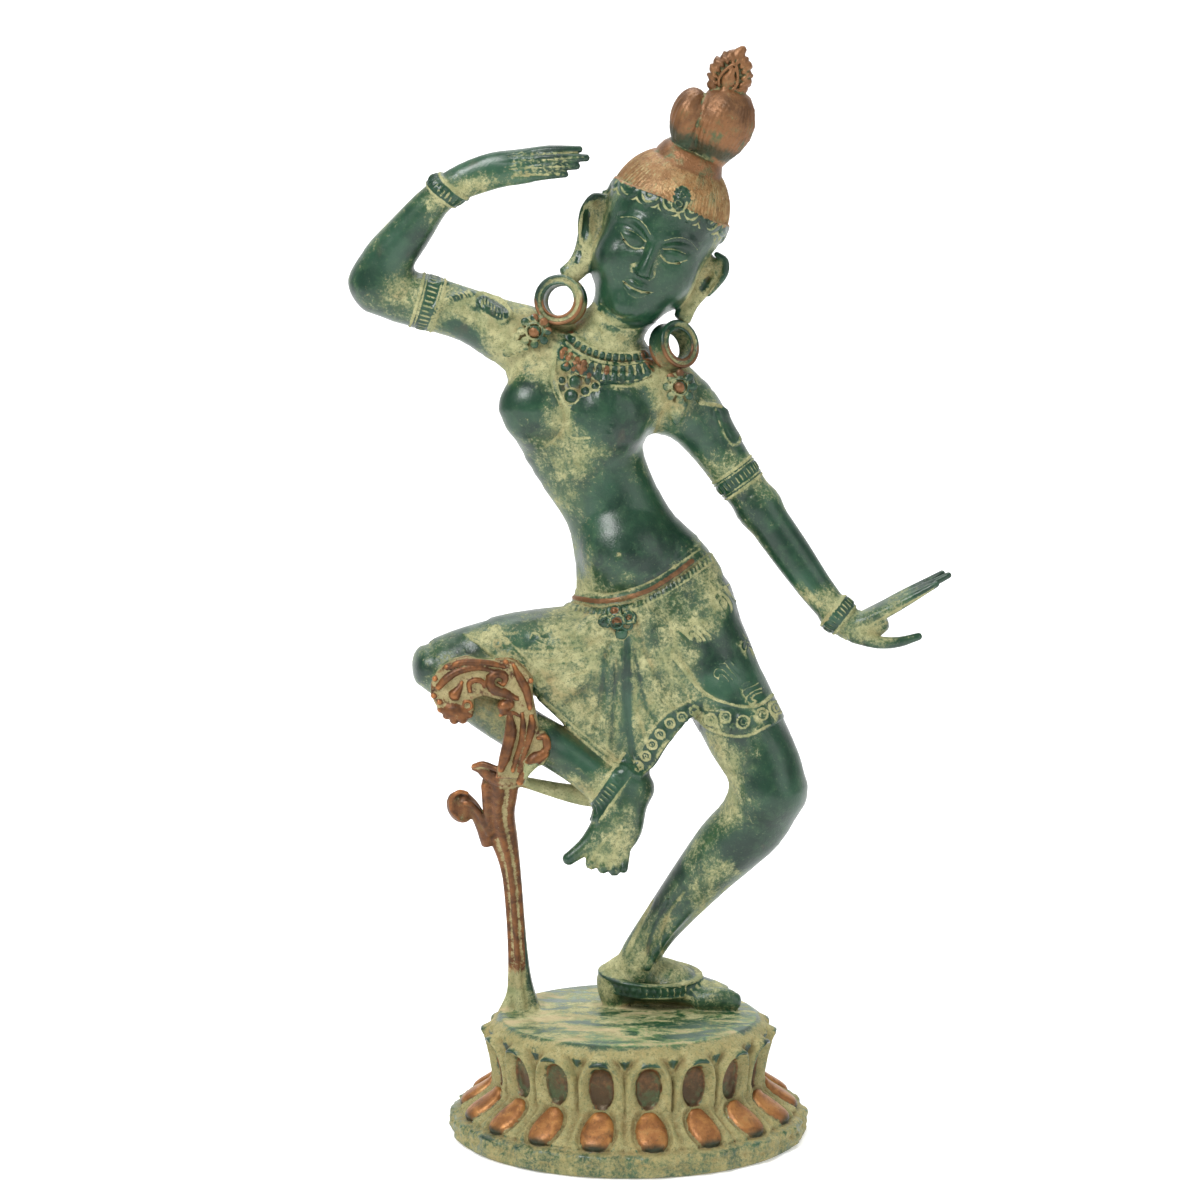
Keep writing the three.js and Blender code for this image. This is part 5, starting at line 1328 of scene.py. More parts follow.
def halved(P, T, sel):
    """Each chosen triangle in four, and the ones beside them to suit."""
    n = len(P)
    vm = np.zeros(n, bool)
    vm[T[sel].ravel()] = True
    near = vm[T].sum(1) >= 2
    C = T[near].astype(np.int64)
    key = lambda i, j: np.minimum(i, j) * n + np.maximum(i, j)
    S = T[sel].astype(np.int64)
    ks = np.unique(np.concatenate([key(S[:, 0], S[:, 1]), key(S[:, 1], S[:, 2]), key(S[:, 2], S[:, 0])]))
    K = np.stack([key(C[:, 0], C[:, 1]), key(C[:, 1], C[:, 2]), key(C[:, 2], C[:, 0])], 1)
    pos = np.minimum(np.searchsorted(ks, K), len(ks) - 1)
    hit = ks[pos] == K
    mid = n + pos
    new = 0.5 * (P[ks // n] + P[ks % n])
    out = [T[~near].astype(np.int64), C[hit.sum(1) == 0]]
    for want in ((True, False, False), (True, True, False), (True, True, True)):
        for r in range(3 if sum(want) < 3 else 1):
            h = np.roll(hit, -r, axis=1)
            m = (h == np.array(want)).all(1)
            if not m.any():
                continue
            c, q = np.roll(C, -r, axis=1)[m], np.roll(mid, -r, axis=1)[m]
            A, B, D_ = c.T
            if sum(want) == 1:
                out += [np.stack([A, q[:, 0], D_], 1), np.stack([q[:, 0], B, D_], 1)]
            elif sum(want) == 2:
                out += [np.stack([q[:, 0], B, q[:, 1]], 1), np.stack([A, q[:, 0], q[:, 1]], 1), np.stack([A, q[:, 1], D_], 1)]
            else:
                out += [np.stack([A, q[:, 0], q[:, 2]], 1), np.stack([q[:, 0], B, q[:, 1]], 1), np.stack([q[:, 2], q[:, 1], D_], 1), np.stack([q[:, 0], q[:, 1], q[:, 2]], 1)]
    return np.vstack([P, new]), np.vstack(out)


# the bare trunk is rubbed smooth
_px, _py = project(P)
bare = (_px > 470) & (_px < 700) & (_py > 400) & (_py < 584) & (P[:, 0] < 22) & (P[:, 2] > 195)
sub = T[bare[T].any(1)]
ring = np.concatenate([sub[:, [0, 1]], sub[:, [1, 2]], sub[:, [2, 0]]])
for _ in range(14):
    acc = np.stack([np.bincount(ring[:, 0], P[ring[:, 1], c], len(P)) + np.bincount(ring[:, 1], P[ring[:, 0], c], len(P)) for c in range(3)], 1)
    cnt = np.bincount(ring.ravel(), minlength=len(P))
    P[bare] = 0.4 * P[bare] + 0.6 * acc[bare] / np.maximum(cnt[bare], 1)[:, None]
P, T = halved(P, T, (zones(P) == 2)[T].all(1))
N = mesh_normals(P, T)
D = details(P, N)[0]
P = P + N * D[:, None]
P[:, 2] = np.maximum(P[:, 2], 0)
say("carved", len(T))

# ------------------------------------------------------------------ to Blender, thinned to its share of triangles


def to_mesh(name, P, T):
    me = bpy.data.meshes.new(name)
    me.vertices.add(len(P))
    me.vertices.foreach_set("co", (P * 0.001).astype(f32).ravel())
    me.loops.add(len(T) * 3)
    me.loops.foreach_set("vertex_index", T.astype(np.int32).ravel())
    me.polygons.add(len(T))
    me.polygons.foreach_set("loop_start", np.arange(0, len(T) * 3, 3, dtype=np.int32))
    me.update(calc_edges=True)
    return me


# thinned zone by zone, so that the face, the jewels, the folds and the lotus keep a finer net than plain skin
SHARE = [50000, 92000, 54000]
ob = bpy.data.objects.new("dancing_tara_cast", to_mesh("raw", P, T))
bpy.context.scene.collection.objects.link(ob)
for part in (0, 1, 2):
    z = zones(P)
    tz = z[T].max(1)
    count = int((tz == part).sum())
    if count <= SHARE[part]:
        continue
    g = ob.vertex_groups.new(name="free")
    g.add(np.where(z == part)[0].tolist(), 1.0, "REPLACE")
    mod = ob.modifiers.new("thin", "DECIMATE")
    mod.ratio = (len(T) - count + SHARE[part]) / len(T)
    mod.vertex_group = "free"
    mod.vertex_group_factor = 0.0
    dg = bpy.context.evaluated_depsgraph_get()
    done = bpy.data.meshes.new_from_object(ob.evaluated_get(dg))
    old = ob.data
    ob.modifiers.clear()
    ob.vertex_groups.clear()
    ob.data = done
    bpy.data.meshes.remove(old)
    co = np.zeros(len(done.vertices) * 3, f32)
    done.vertices.foreach_get("co", co)
    P = co.reshape(-1, 3).astype(float) * 1000
    tri = np.zeros(len(done.polygons) * 3, np.int32)
    done.loops.foreach_get("vertex_index", tri)
    T = tri.reshape(-1, 3).astype(np.int64)
    say("zone", part, "from", count, "all now", len(T))
# one last even thinning, to at most LIMIT triangles
LIMIT = 196000
if len(T) > LIMIT:
    mod = ob.modifiers.new("thin", "DECIMATE")
    mod.ratio = LIMIT / len(T)
    dg = bpy.context.evaluated_depsgraph_get()
    done = bpy.data.meshes.new_from_object(ob.evaluated_get(dg))
    old = ob.data
    ob.modifiers.clear()
    ob.data = done
    bpy.data.meshes.remove(old)
    co = np.zeros(len(done.vertices) * 3, f32)
    done.vertices.foreach_get("co", co)
    P = co.reshape(-1, 3).astype(float) * 1000
    tri = np.zeros(len(done.polygons) * 3, np.int32)
    done.loops.foreach_get("vertex_index", tri)
    T = tri.reshape(-1, 3).astype(np.int64)
    say("all thinned to", len(T))
lab = islands(len(P), T)
main = np.bincount(lab).argmax()
keep = lab == main
say("thinned to", len(T), "loose points dropped", int((~keep).sum()))
new = np.cumsum(keep) - 1
T = new[T[keep[T[:, 0]]]]
P = P[keep]
# points that fell together on the flat underside become one, and the empty faces between them go
_, first, same = np.unique((P * 0.001).astype(f32), axis=0, return_index=True, return_inverse=True)
P = P[first]
T = same.ravel()[T]
T = T[(T[:, 0] != T[:, 1]) & (T[:, 1] != T[:, 2]) & (T[:, 0] != T[:, 2])]
say("joined", len(T))
n = len(P)
me = to_mesh("dancing_tara_cast", P, T)
ob.data = me
ob.vertex_groups.clear()
me.polygons.foreach_set("use_smooth", np.ones(len(me.polygons), bool))
N = mesh_normals(P, T)

# ------------------------------------------------------------------ where the finish lies
E = np.unique(np.sort(np.concatenate([T[:, [0, 1]], T[:, [1, 2]], T[:, [2, 0]]]), axis=1), axis=0)


def spread_over(v, times=1):
    for _ in range(times):
        acc = np.bincount(E[:, 0], v[E[:, 1]], n) + np.bincount(E[:, 1], v[E[:, 0]], n)
        cnt = np.bincount(E[:, 0], minlength=n) + np.bincount(E[:, 1], minlength=n)
        v = 0.5 * v + 0.5 * acc / np.maximum(cnt, 1)
    return v


edge = P[E[:, 1]] - P[E[:, 0]]
el = np.linalg.norm(edge, axis=1) + 1e-6
bend0 = (edge * N[E[:, 0]]).sum(1) / el ** 2
bend1 = -(edge * N[E[:, 1]]).sum(1) / el ** 2
cnt = np.bincount(E[:, 0], minlength=n) + np.bincount(E[:, 1], minlength=n)
hollow = (np.bincount(E[:, 0], bend0, n) + np.bincount(E[:, 1], bend1, n)) / np.maximum(cnt, 1)
fine = spread_over(np.clip(hollow, -1.2, 1.2), 2) * 1.9
fine = np.clip(np.sign(fine) * np.maximum(np.abs(fine) - 0.10, 0) * 1.25, -1, 1)  # + in a hollow, - on an edge
wide = np.clip(spread_over(np.clip(hollow, -1.0, 1.0), 10) * 5, -1, 1)

D, crm, cop, cloth, scroll, shin, cap, lap, bun, hband = details(P, N)
px, py = project(P)
fc = facing(P, N)

# patches of the cream wash and of bare green, as (px, py, reach x, reach y, turn, amount)
PATCHES = [(478, 300, 34, 24, 0, 0.8), (440, 318, 26, 18, 20, 0.65), (458, 348, 26, 14, 20, 0.6), (508, 334, 24, 22, 0, 0.9), (368, 268, 18, 28, 0, -0.4), (398, 290, 22, 10, -20, 0.5), (408, 230, 26, 20, -45, -0.5), (415, 330, 12, 8, 0, -0.5), (455, 330, 14, 6, 20, -0.5),
           (447, 192, 10, 12, 0, 0.4), (372, 245, 10, 20, 30, 0.35),
           (604, 322, 30, 18, 0, 0.7), (600, 362, 56, 20, 10, 0.8), (616, 315, 12, 4, 8, -1.5), (612, 327, 12, 3.5, 8, -1.3), (575, 285, 14, 26, 0, 0.7), (587, 235, 10, 30, 0, 0.5), (690, 300, 20, 26, 0, 0.6), (511, 372, 12, 30, 10, 0.5), (540, 380, 14, 12, 0, 0.7), (548, 440, 16, 20, 0, 0.55), (574, 465, 14, 28, 15, 0.5), (500, 352, 18, 12, 0, 0.5),
           (522, 405, 22, 24, 0, -0.9), (614, 414, 40, 24, 0, -1.0), (566, 410, 6, 30, 0, 0.9), (664, 400, 14, 38, 10, 1.0), (646, 376, 26, 8, 0, 0.7), (600, 452, 26, 6, 0, 0.5), (680, 412, 12, 18, -20, 0.6),
           (556, 500, 8, 34, 20, 0.15), (590, 566, 6, 26, 0, 0.6), (577, 588, 14, 8, 0, 0.9), (640, 520, 44, 50, 0, -0.8), (700, 544, 10, 8, 0, 0.4),
           (706, 432, 24, 24, 0, -0.5), (736, 440, 10, 16, 0, -0.5), (748, 480, 20, 12, -30, 0.6), (785, 545, 22, 40, -35, -0.8), (800, 606, 8, 20, -30, 0.5), (770, 520, 6, 30, -35, 0.3), (838, 608, 16, 14, 0, 0.7), (866, 634, 30, 8, 0, 0.8), (925, 594, 26, 12, -30, -0.4),
           (470, 618, 46, 9, -4, -1.3), (520, 636, 22, 14, 0, -0.6), (540, 640, 16, 12, 0, -0.5), (746, 636, 22, 66, 25, -1.8), (752, 690, 22, 20, 0, -1.3), (722, 670, 22, 20, 0, -0.8), (702, 606, 18, 14, 0, -0.4), (740, 580, 14, 30, 25, -0.7), (700, 640, 12, 12, 0, -0.4), (652, 640, 10, 14, 0, -0.4),
           (740, 720, 44, 12, 0, -0.7), (786, 775, 26, 46, 0, -1.1), (722, 752, 14, 34, -20, 0.9), (731, 800, 9, 26, 0, 0.6), (760, 750, 10, 20, 0, 0.3), (570, 655, 20, 10, -20, -0.3), (585, 700, 12, 20, 20, -0.35), (606, 690, 6, 40, 5, -0.35), (627, 700, 5, 60, 0, -0.5),
           (746, 850, 30, 16, 30, -0.6), (708, 878, 24, 7, -40, 0.55), (735, 872, 20, 5, 40, 0.4), (690, 905, 14, 14, 0, -0.2), (652, 932, 9, 30, 25, 0.4), (640, 966, 18, 10, 0, 0.35), (612, 960, 7, 16, 0, 0.5), (682, 968, 18, 7, 0, 0.5), (716, 984, 16, 7, 0, 0.6), (690, 990, 30, 5, 0, -0.3), (650, 992, 30, 7, 5, -0.9),
           (570, 748, 34, 18, 40, -1.2), (528, 776, 24, 9, 20, 0.6), (603, 790, 14, 20, 0, 0.5), (626, 776, 12, 12, 0, -1.3), (608, 812, 12, 20, 0, -0.1), (620, 840, 14, 26, 15, 0.55), (596, 862, 20, 10, 0, 0.8), (590, 832, 10, 14, 0, -0.3), (600, 876, 20, 5, 0, -0.5), (568, 862, 8, 8, 0, -0.6),
           (764, 548, 7, 28, -35, 0.9), (809, 592, 9, 8, 0, 0.9), (900, 606, 32, 7, -28, 0.5), (608, 976, 14, 20, 0, 1.3), (700, 905, 30, 9, -45, 0.5), (548, 722, 14, 9, 30, 0.7), (580, 784, 16, 10, 20, 0.8), (664, 962, 26, 7, 0, 0.35), (586, 235, 10, 36, 8, 0.3), (577, 262, 14, 18, 20, 0.25), (704, 275, 10, 22, -20, 0.3), (692, 305, 14, 20, 0, 0.7), (480, 162, 34, 9, -5, -0.9), (462, 190, 22, 6, -20, 0.9), (462, 332, 24, 9, 38, -1.6), (548, 160, 36, 14, 0, -0.3), (596, 300, 10, 24, 0, 0.7)]
bias = np.full(n, -0.28)
back_bias = np.full(n, -0.12)
fr = soft(-0.15, 0.2, fc)
for cx, cy, rx, ry, turn, amt in PATCHES:
    a = math.radians(turn)
    dx, dy = px - cx, py - cy
    u, v = dx * math.cos(a) + dy * math.sin(a), -dx * math.sin(a) + dy * math.cos(a)
    q = (u / rx) ** 2 + (v / ry) ** 2
    bias += amt * np.exp(-q * 0.9) * fr
bias += 0.55 * cloth * (0.35 + 0.65 * fr)
bias = np.clip(bias, -1.6, 0.62)
hx, hy, hz = head_frame(P)
face = soft(-2.0, -5.0, hy) * soft(18.5, 16.5, np.abs(hx + 0.6)) * (hz < hairline(hx, hy)) * (hz > -30) * soft(32, 30, np.sqrt(hx ** 2 + hy ** 2 + (hz + 4) ** 2))
bias = bias * (1 - face) - 1.25 * face
bias += 0.35 * wide * (1 - cap)
bias = np.where(fr > 0.5, bias, bias)
# the scroll, the plinth
q = np.hypot(P[:, 0], P[:, 1] / OV)
t = np.arctan2(P[:, 0], -P[:, 1] / OV)
base = P[:, 2] < 44.4
_, niche, tongue, lips, tip, footband, ev, en, et = carve(q, P[:, 2], t)
plat = base * soft(43.0, 43.35, P[:, 2]) * (q < 47.2)
body = base * (1 - plat)
under = body * (P[:, 2] < 0.05)
bias = np.where(base, 0.0, bias)
bias += plat * (0.10 + 0.9 * np.exp(-(((P[:, 0] + 22) / 16) ** 2 + ((P[:, 1] + 4) / 14) ** 2)) - 0.45 * np.exp(-(((P[:, 0] - 4) / 34) ** 2 + ((P[:, 1] + 20) / 14) ** 2))) + body * 0.85 - body * footband * 0.62 - body * 0.6 * np.exp(-((P[:, 2] - 8.8) / 0.8) ** 2) * soft(56, 60, q)
bias -= body * soft(0.35, 0.95, lips) * 1.35
bias -= body * np.exp(-((P[:, 2] - 43.15) / 0.3) ** 2) * (q > 46.5) * (q < 47.4) * 1.3
bias = np.where((base & ((niche > 0.3) | (tongue > 0.3))), -0.5, bias)
cop = np.maximum(cop, body * np.maximum(soft(0.2, 0.8, niche), soft(0.2, 0.8, tongue)))
dirty = body * soft(0.3, 0.9, niche) * (0.7 + 0.3 * soft(32, 22, P[:, 2]))
tipdark = body * tip
foot = (P[:, 2] > 44.4) & (P[:, 2] < 62) & (P[:, 0] < -20)
bias += foot * 1.1
stick_side = scroll * soft(-38.5, -36.8, P[:, 0] + 0.035 * (P[:, 2] - 60)) * (P[:, 2] < 108)
cop *= 1 - 0.9 * stick_side * (P[:, 2] < 75)
bias -= stick_side * 0.9
# jewels in copper
nearpt = lambda c, r: 1 - soft(r * 0.85, r, np.linalg.norm(P - np.array(c), axis=1))
hoopc = np.zeros(n)
for c in (HOOP_L, HOOP_R):
    d = np.linalg.norm(P - np.array(c), axis=1)
    hoopc = np.maximum(hoopc, soft(13.5, 11.5, d) * (P[:, 2] < c[2] + 9) * soft(5.4, 6.2, d) * (P[:, 1] < c[1] + 2.5) * (0.35 + 0.65 * soft(c[2] + 5, c[2] - 5, P[:, 2])))
cop = np.maximum(cop, 0.85 * hoopc * soft(0.4, -0.3, fine))
cop = np.maximum(cop, nearpt((-33.8, -9.4, 291.6), 2.2))
cop = np.maximum(cop, nearpt((17.2, -9.6, 272.6), 2.2))
cream = bias + crm
print("cream %.2f %.2f copper %.2f" % (cream.min(), cream.max(), cop.mean()))


def store(name, v):
    a = me.attributes.new(name, "FLOAT", "POINT")
    a.data.foreach_set("value", v.astype(f32))


store("wash", cream)
store("copper", np.clip(cop, 0, 1))
store("hollow", fine)
store("tip", np.clip(tipdark + 0.0, 0, 1))
store("bunshade", np.clip(bun * soft(44, 34, head_frame(P)[2]) * soft(0, -12, P[:, 1] - 10), 0, 1))
store("gold", np.clip(cap * (1 - lap) * (1 - 0.5 * soft(6, -10, head_frame(P)[0])), 0, 1))
store("warm", np.clip(0.85 * body * tongue + 0.22 * body * niche + 0.45 * scroll * soft(100, 140, P[:, 2]) + 0.4 * scroll, 0, 1))
store("ochre", np.clip(body * 0.75 + (1 - base) * 0.25 * soft(0.1, 0.5, wide), 0, 1))
store("leafy", np.clip(scroll * soft(0.2, 0.6, cop), 0, 1))
store("soil", np.clip(body * (0.25 + 1.3 * wide) + (1 - base) * (1.6 * wide - 0.25) * (1 - face), 0, 1))
store("dirt", np.clip(dirty + 0.75 * stick_side + 0.22 * scroll * soft(135, 100, P[:, 2]), 0, 1))
store("lappet", np.clip(lap, 0, 1))
store("floorlike", np.clip(plat, 0, 1))
store("skirted", np.clip(cloth, 0, 1))
say("finish laid out")

# ------------------------------------------------------------------ material
mat = bpy.data.materials.new("cast_patina")
mat.use_nodes = True
nt = mat.node_tree
nt.nodes.clear()
_x = [0]


def node(kind, **kw):
    nd = nt.nodes.new(kind)
    _x[0] += 1
    nd.location = (200 * (_x[0] % 12), -240 * (_x[0] // 12))
    for k, v in kw.items():
        if k == "inputs":
            for i, val in v.items():
                if isinstance(val, bpy.types.NodeSocket):
                    nt.links.new(val, nd.inputs[i])
                else:
                    nd.inputs[i].default_value = val
        else:
            setattr(nd, k, v)
    return nd


def math_(op, a, b=None, c=None, clamp=False):
    ins = {0: a}
    if b is not None:
        ins[1] = b
    if c is not None:
        ins[2] = c
    return node("ShaderNodeMath", operation=op, use_clamp=clamp, inputs=ins).outputs[0]


def ramp(v, lo, hi, a=0.0, b=1.0):
    return node("ShaderNodeMapRange", interpolation_type="SMOOTHSTEP", inputs={0: v, 1: lo, 2: hi, 3: a, 4: b}).outputs[0]


def attr(name):
    return node("ShaderNodeAttribute", attribute_name=name, attribute_type="GEOMETRY").outputs["Fac"]


def mix(f, a, b):
    nd = node("ShaderNodeMix", data_type="RGBA")
    for i, v in ((0, f), (6, a), (7, b)):
        if isinstance(v, bpy.types.NodeSocket):
            nt.links.new(v, nd.inputs[i])
        else:
            nd.inputs[i].default_value = v
    return nd.outputs[2]


def srgb(r, g, b):
    f = lambda c: ((c / 255 + 0.055) / 1.055) ** 2.4 if c > 10 else c / 255 / 12.92
    return (f(r), f(g), f(b), 1.0)


coords = node("ShaderNodeTexCoord").outputs["Object"]


def stretched(sx, sy, sz, rot_=(0, 0, 0)):
    return node("ShaderNodeMapping", inputs={0: coords, 2: rot_, 3: (sx, sy, sz)}).outputs[0]


def noise(scale, detail=3.0, rough=0.55, vec=None, dist=0.0):
    return node("ShaderNodeTexNoise", inputs={"Vector": vec or coords, "Scale": scale, "Detail": detail, "Roughness": rough, "Distortion": dist}).outputs["Fac"]


wash, copper, hol, tip_, bshade, lapp, flr, skt = (attr(a) for a in ("wash", "copper", "hollow", "tip", "bunshade", "lappet", "floorlike", "skirted"))
gold, warm, dirt, ochre, scr, soil = attr("gold"), attr("warm"), attr("dirt"), attr("ochre"), attr("leafy"), attr("soil")
nl = noise(52, 2, 0.5, None, 0.6)
nm = noise(230, 3, 0.6, None, 0.4)
nf = noise(1050, 2, 0.6)
ns = noise(2300, 1, 0.5)
nd_ = noise(560, 3, 0.65)
streak = noise(260, 3, 0.6, stretched(1.0, 1.0, 0.22, (0.0, math.radians(-30), 0.0)), 0.3)
brush = noise(88, 3, 0.55, stretched(0.62, 1.5, 1.0, (0, 0, 0.1)), 0.8)
c05 = lambda v, k: math_("MULTIPLY", math_("SUBTRACT", v, 0.5), k)
cloud = math_("ADD", wash, math_("ADD", c05(nl, 1.5), c05(nm, 1.0)))
cloud = math_("ADD", cloud, math_("ADD", math_("MULTIPLY", flr, c05(brush, 4.2)), math_("MULTIPLY", hol, 0.95)))
f = math_("ADD", cloud, math_("ADD", c05(nd_, 1.1), c05(nf, 1.5)))
f = math_("ADD", f, math_("ADD", c05(ns, 0.7), c05(streak, 1.0)))
creamy = ramp(f, -0.34, 0.52)  # the pale wash, thick
thin = ramp(cloud, -0.65, 0.15)  # its thin veil
speck = ramp(ns, 0.60, 0.70)
speck2 = ramp(noise(900, 2, 0.7), 0.56, 0.70)
mottle = ramp(noise(340, 3, 0.6, None, 0.6), 0.40, 0.66)

green = mix(ramp(nl, 0.3, 0.7), srgb(9, 40, 28), srgb(24, 62, 41))
green = mix(ramp(nm, 0.42, 0.78, 0.0, 0.45), green, srgb(52, 88, 58))
# lighter teal patches at random places: tone that varies, partly a painted sheen
green = mix(ramp(noise(34, 2, 0.5, None, 0.4), 0.52, 0.72, 0, 0.45), green, srgb(58, 98, 74))
green = mix(math_("MULTIPLY", thin, 0.50), green, mix(ramp(nd_, 0.35, 0.65), srgb(84, 104, 58), srgb(68, 102, 70)))
green = mix(math_("MULTIPLY", flr, 0.9), green, mix(ramp(brush, 0.40, 0.66), srgb(24, 70, 42), srgb(98, 142, 76)))
green = mix(ramp(noise(140, 2, 0.5, stretched(1, 1, 0.5)), 0.66, 0.78, 0, 0.30), green, srgb(72, 56, 42))
green = mix(math_("MULTIPLY", math_("MULTIPLY", speck2, mottle), 0.30), green, srgb(96, 122, 84))
cream_c = mix(ramp(nm, 0.3, 0.7), srgb(150, 149, 104), srgb(178, 175, 130))
cream_c = mix(ramp(noise(120, 3, 0.6), 0.42, 0.68, 0, 0.70), cream_c, srgb(118, 128, 86))
cream_c = mix(ramp(noise(70, 2, 0.5, None, 0.8), 0.58, 0.76, 0, 0.45), cream_c, srgb(158, 132, 88))
cream_c = mix(math_("MULTIPLY", ochre, ramp(nd_, 0.3, 0.7, 0.55, 1.0)), cream_c, srgb(150, 134, 82))
cream_c = mix(math_("MULTIPLY", speck, 0.55), cream_c, srgb(70, 80, 56))
cream_c = mix(math_("MULTIPLY", speck2, 0.60), cream_c, srgb(84, 92, 58))
cream_c = mix(ramp(noise(420, 4, 0.7), 0.52, 0.66, 0, 0.50), cream_c, srgb(104, 104, 62))
cream_c = mix(math_("MULTIPLY", math_("MULTIPLY", mottle, 0.30), math_("SUBTRACT", 1.0, flr)), cream_c, srgb(104, 112, 74))
cream_c = mix(math_("MULTIPLY", flr, ramp(brush, 0.5, 0.7, 0, 0.55)), cream_c, srgb(196, 172, 134))
skin = mix(creamy, green, cream_c)

# copper where the alloy shows: brown on the hair, warmer on the lotus tongues, gold on the cap
cop_c = mix(ramp(nl, 0.35, 0.65), srgb(88, 60, 36), srgb(128, 88, 54))
cop_c = mix(ramp(nm, 0.45, 0.75, 0, 0.55), cop_c, srgb(150, 108, 68))
hot = mix(ramp(nm, 0.35, 0.7), srgb(138, 88, 44), srgb(180, 124, 66))
cop_c = mix(warm, cop_c, hot)
brown = mix(ramp(nm, 0.30, 0.70), srgb(70, 43, 22), srgb(124, 78, 40))
cop_c = mix(scr, cop_c, brown)
# brighter orange on the raised edges of the scroll: rubbed metal, and a painted highlight
cop_c = mix(math_("MULTIPLY", scr, ramp(hol, -0.15, -0.60, 0, 0.65)), cop_c, srgb(178, 116, 64))
tan = mix(ramp(nm, 0.3, 0.7), srgb(150, 112, 68), srgb(184, 154, 106))
cop_c = mix(math_("MULTIPLY", gold, 0.85), cop_c, tan)
cop_c = mix(ramp(noise(180, 3, 0.6), 0.56, 0.72, 0, 0.50), cop_c, srgb(74, 54, 34))
cop_c = mix(math_("MULTIPLY", speck2, 0.40), cop_c, srgb(66, 56, 38))
cop_c = mix(ramp(math_("ADD", dirt, c05(nd_, 0.9)), 0.30, 0.90, 0, 0.85), cop_c, srgb(50, 42, 24))
cw = math_("ADD", math_("ADD", math_("MULTIPLY", wash, 0.30), math_("MULTIPLY", hol, 1.0)), math_("ADD", c05(nf, 1.2), math_("ADD", c05(nm, 1.0), c05(nd_, 0.8))))
cw = ramp(cw, 0.14, 0.60)
grn = ramp(math_("ADD", math_("MULTIPLY", hol, 1.3), math_("ADD", c05(nm, 1.6), c05(nl, 1.2))), 0.10, 0.55, 0, 0.85)
cop_c = mix(math_("MULTIPLY", grn, math_("SUBTRACT", 1.0, math_("MULTIPLY", warm, 0.75))), cop_c, srgb(62, 88, 58))
cop_c = mix(math_("MULTIPLY", cw, 0.9), cop_c, mix(0.35, cream_c, srgb(150, 118, 74)))
cop_c = mix(math_("MULTIPLY", tip_, 0.95), cop_c, srgb(22, 44, 32))
cop_c = mix(ramp(math_("ADD", bshade, c05(nm, 0.8)), 0.35, 0.9, 0, 0.8), cop_c, srgb(32, 52, 36))
edge_c = ramp(math_("ADD", copper, math_("ADD", c05(nf, 0.35), c05(nm, 0.25))), 0.38, 0.66)
colour = mix(edge_c, skin, cop_c)
# dark brown-green in the fine hollows: grime, and painted shade standing in for the shadow that gathers there
grime_and_hollow_shade = ramp(math_("ADD", hol, math_("ADD", c05(nf, 0.9), c05(nm, 0.7))), 0.30, 0.95, 0, 0.55)
colour = mix(grime_and_hollow_shade, colour, srgb(38, 38, 24))
colour = mix(math_("MULTIPLY", math_("MULTIPLY", soil, ramp(nd_, 0.30, 0.62, 0.35, 1.0)), math_("SUBTRACT", 0.62, math_("MULTIPLY", edge_c, 0.5))), colour, srgb(104, 84, 44))

bsdf = node("ShaderNodeBsdfPrincipled")
out = node("ShaderNodeOutputMaterial")
nt.links.new(bsdf.outputs[0], out.inputs[0])
nt.links.new(colour, bsdf.inputs["Base Color"])
rough = math_("ADD", ramp(creamy, 0, 1, 0.32, 0.76), c05(nm, 0.18))
rough = mix(edge_c, rough, math_("ADD", ramp(cw, 0, 1, 0.44, 0.74), c05(nf, 0.2)))
nt.links.new(rough, bsdf.inputs["Roughness"])
metal = math_("MULTIPLY", math_("MULTIPLY", edge_c, math_("SUBTRACT", 1.0, cw)), 0.45)
nt.links.new(metal, bsdf.inputs["Metallic"])
bsdf.inputs["Specular IOR Level"].default_value = 0.5
hgt = math_("ADD", math_("MULTIPLY", creamy, 0.45), math_("ADD", math_("MULTIPLY", nf, 0.40), math_("MULTIPLY", ns, 0.25)))
hgt = math_("ADD", hgt, math_("ADD", math_("MULTIPLY", nm, 0.5), math_("MULTIPLY", nd_, 0.35)))
bump = node("ShaderNodeBump", inputs={"Strength": 0.6, "Distance": 0.00024, "Height": hgt})
nt.links.new(bump.outputs[0], bsdf.inputs["Normal"])
me.materials.clear()
me.materials.append(mat)

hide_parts("dancing_tara")
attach(ob, "root")

# ------------------------------------------------------------------ floor, light, camera
fl = bpy.data.meshes.new("floor")
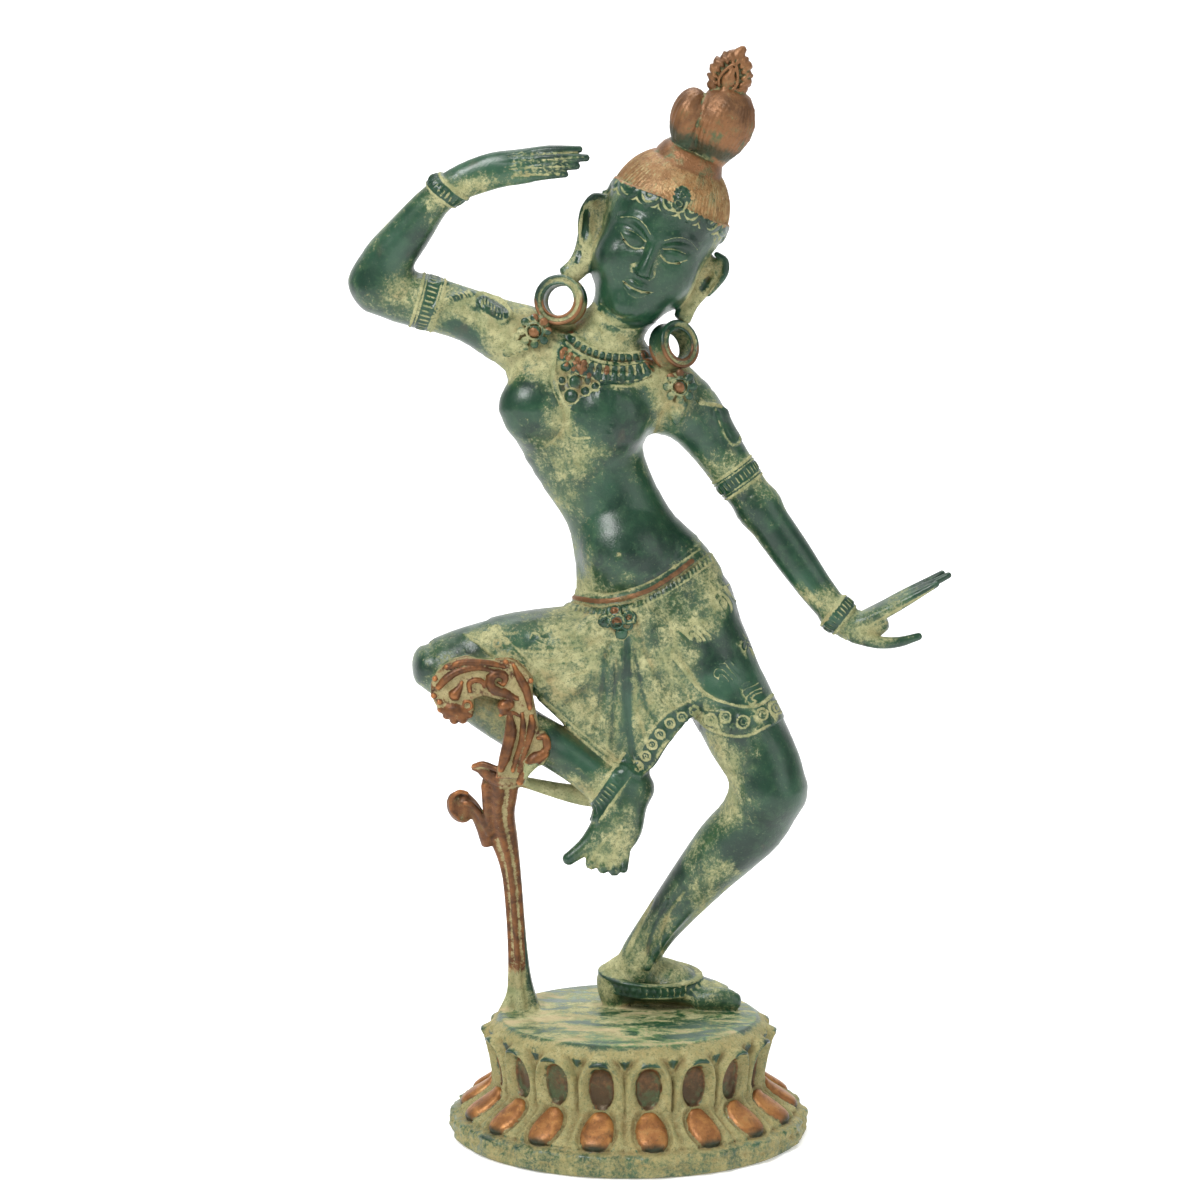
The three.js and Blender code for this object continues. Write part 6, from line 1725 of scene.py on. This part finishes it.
# a paper sweep: flat under the work, curving up behind it
rows = [(-3.0, 0.0), (0.9, 0.0)]
for i in range(1, 17):
    q = math.pi / 2 * i / 16
    rows.append((0.9 + 1.1 * math.sin(q), 1.1 * (1 - math.cos(q))))
rows.append((2.0, 4.2))
verts = [(x, y, z) for y, z in rows for x in (-4.0, 4.0)]
fl.from_pydata(verts, [], [(2 * i, 2 * i + 1, 2 * i + 3, 2 * i + 2) for i in range(len(rows) - 1)])
fl.polygons.foreach_set("use_smooth", [True] * len(fl.polygons))
floor = bpy.data.objects.new("floor", fl)
floor.location = (0, 0, -0.0002)
bpy.context.scene.collection.objects.link(floor)
fm = bpy.data.materials.new("pale_floor")
fm.use_nodes = True
fb = fm.node_tree.nodes["Principled BSDF"]
fb.inputs["Base Color"].default_value = (0.9, 0.9, 0.9, 1)
fb.inputs["Roughness"].default_value = 0.95
fb.inputs["Specular IOR Level"].default_value = 0.1
fb.inputs["Emission Color"].default_value = (1, 1, 1, 1)
fb.inputs["Emission Strength"].default_value = 0.32
fl.materials.append(fm)


def area(name, loc, at, size, watts):
    L = bpy.data.lights.new(name, "AREA")
    L.shape, L.size, L.energy = "SQUARE", size, watts
    o = bpy.data.objects.new(name, L)
    o.location = loc
    v = np.array(at) - np.array(loc)
    import mathutils
    o.rotation_euler = mathutils.Vector(v).to_track_quat("-Z", "Y").to_euler()
    bpy.context.scene.collection.objects.link(o)


area("key", (-0.7, -0.95, 1.25), (0, 0, 0.2), 0.6, 21)
area("fill", (1.1, -0.9, 0.7), (0, 0, 0.2), 1.0, 5)
area("top", (0.1, 0.3, 1.5), (0, 0, 0.2), 1.1, 11)
area("paper", (0, 0.7, 1.9), (0, 2.0, 0.9), 1.6, 16)
world = bpy.data.worlds.new("studio")
world.use_nodes = True
world.node_tree.nodes["Background"].inputs[0].default_value = (1, 1, 1, 1)
world.node_tree.nodes["Background"].inputs[1].default_value = 0.36
bpy.context.scene.world = world
bpy.context.scene.view_settings.view_transform = "Standard"

cam = bpy.data.cameras.new("camera")
cam.lens, cam.sensor_width = 84.83, 36.0
co = bpy.data.objects.new("camera", cam)
co.location = (CAM_X * 0.001, -CAM_D * 0.001, CAM_H * 0.001)
co.rotation_euler = (math.radians(81.695), 0, 0)
bpy.context.scene.collection.objects.link(co)
bpy.context.scene.camera = co

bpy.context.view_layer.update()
say("done")
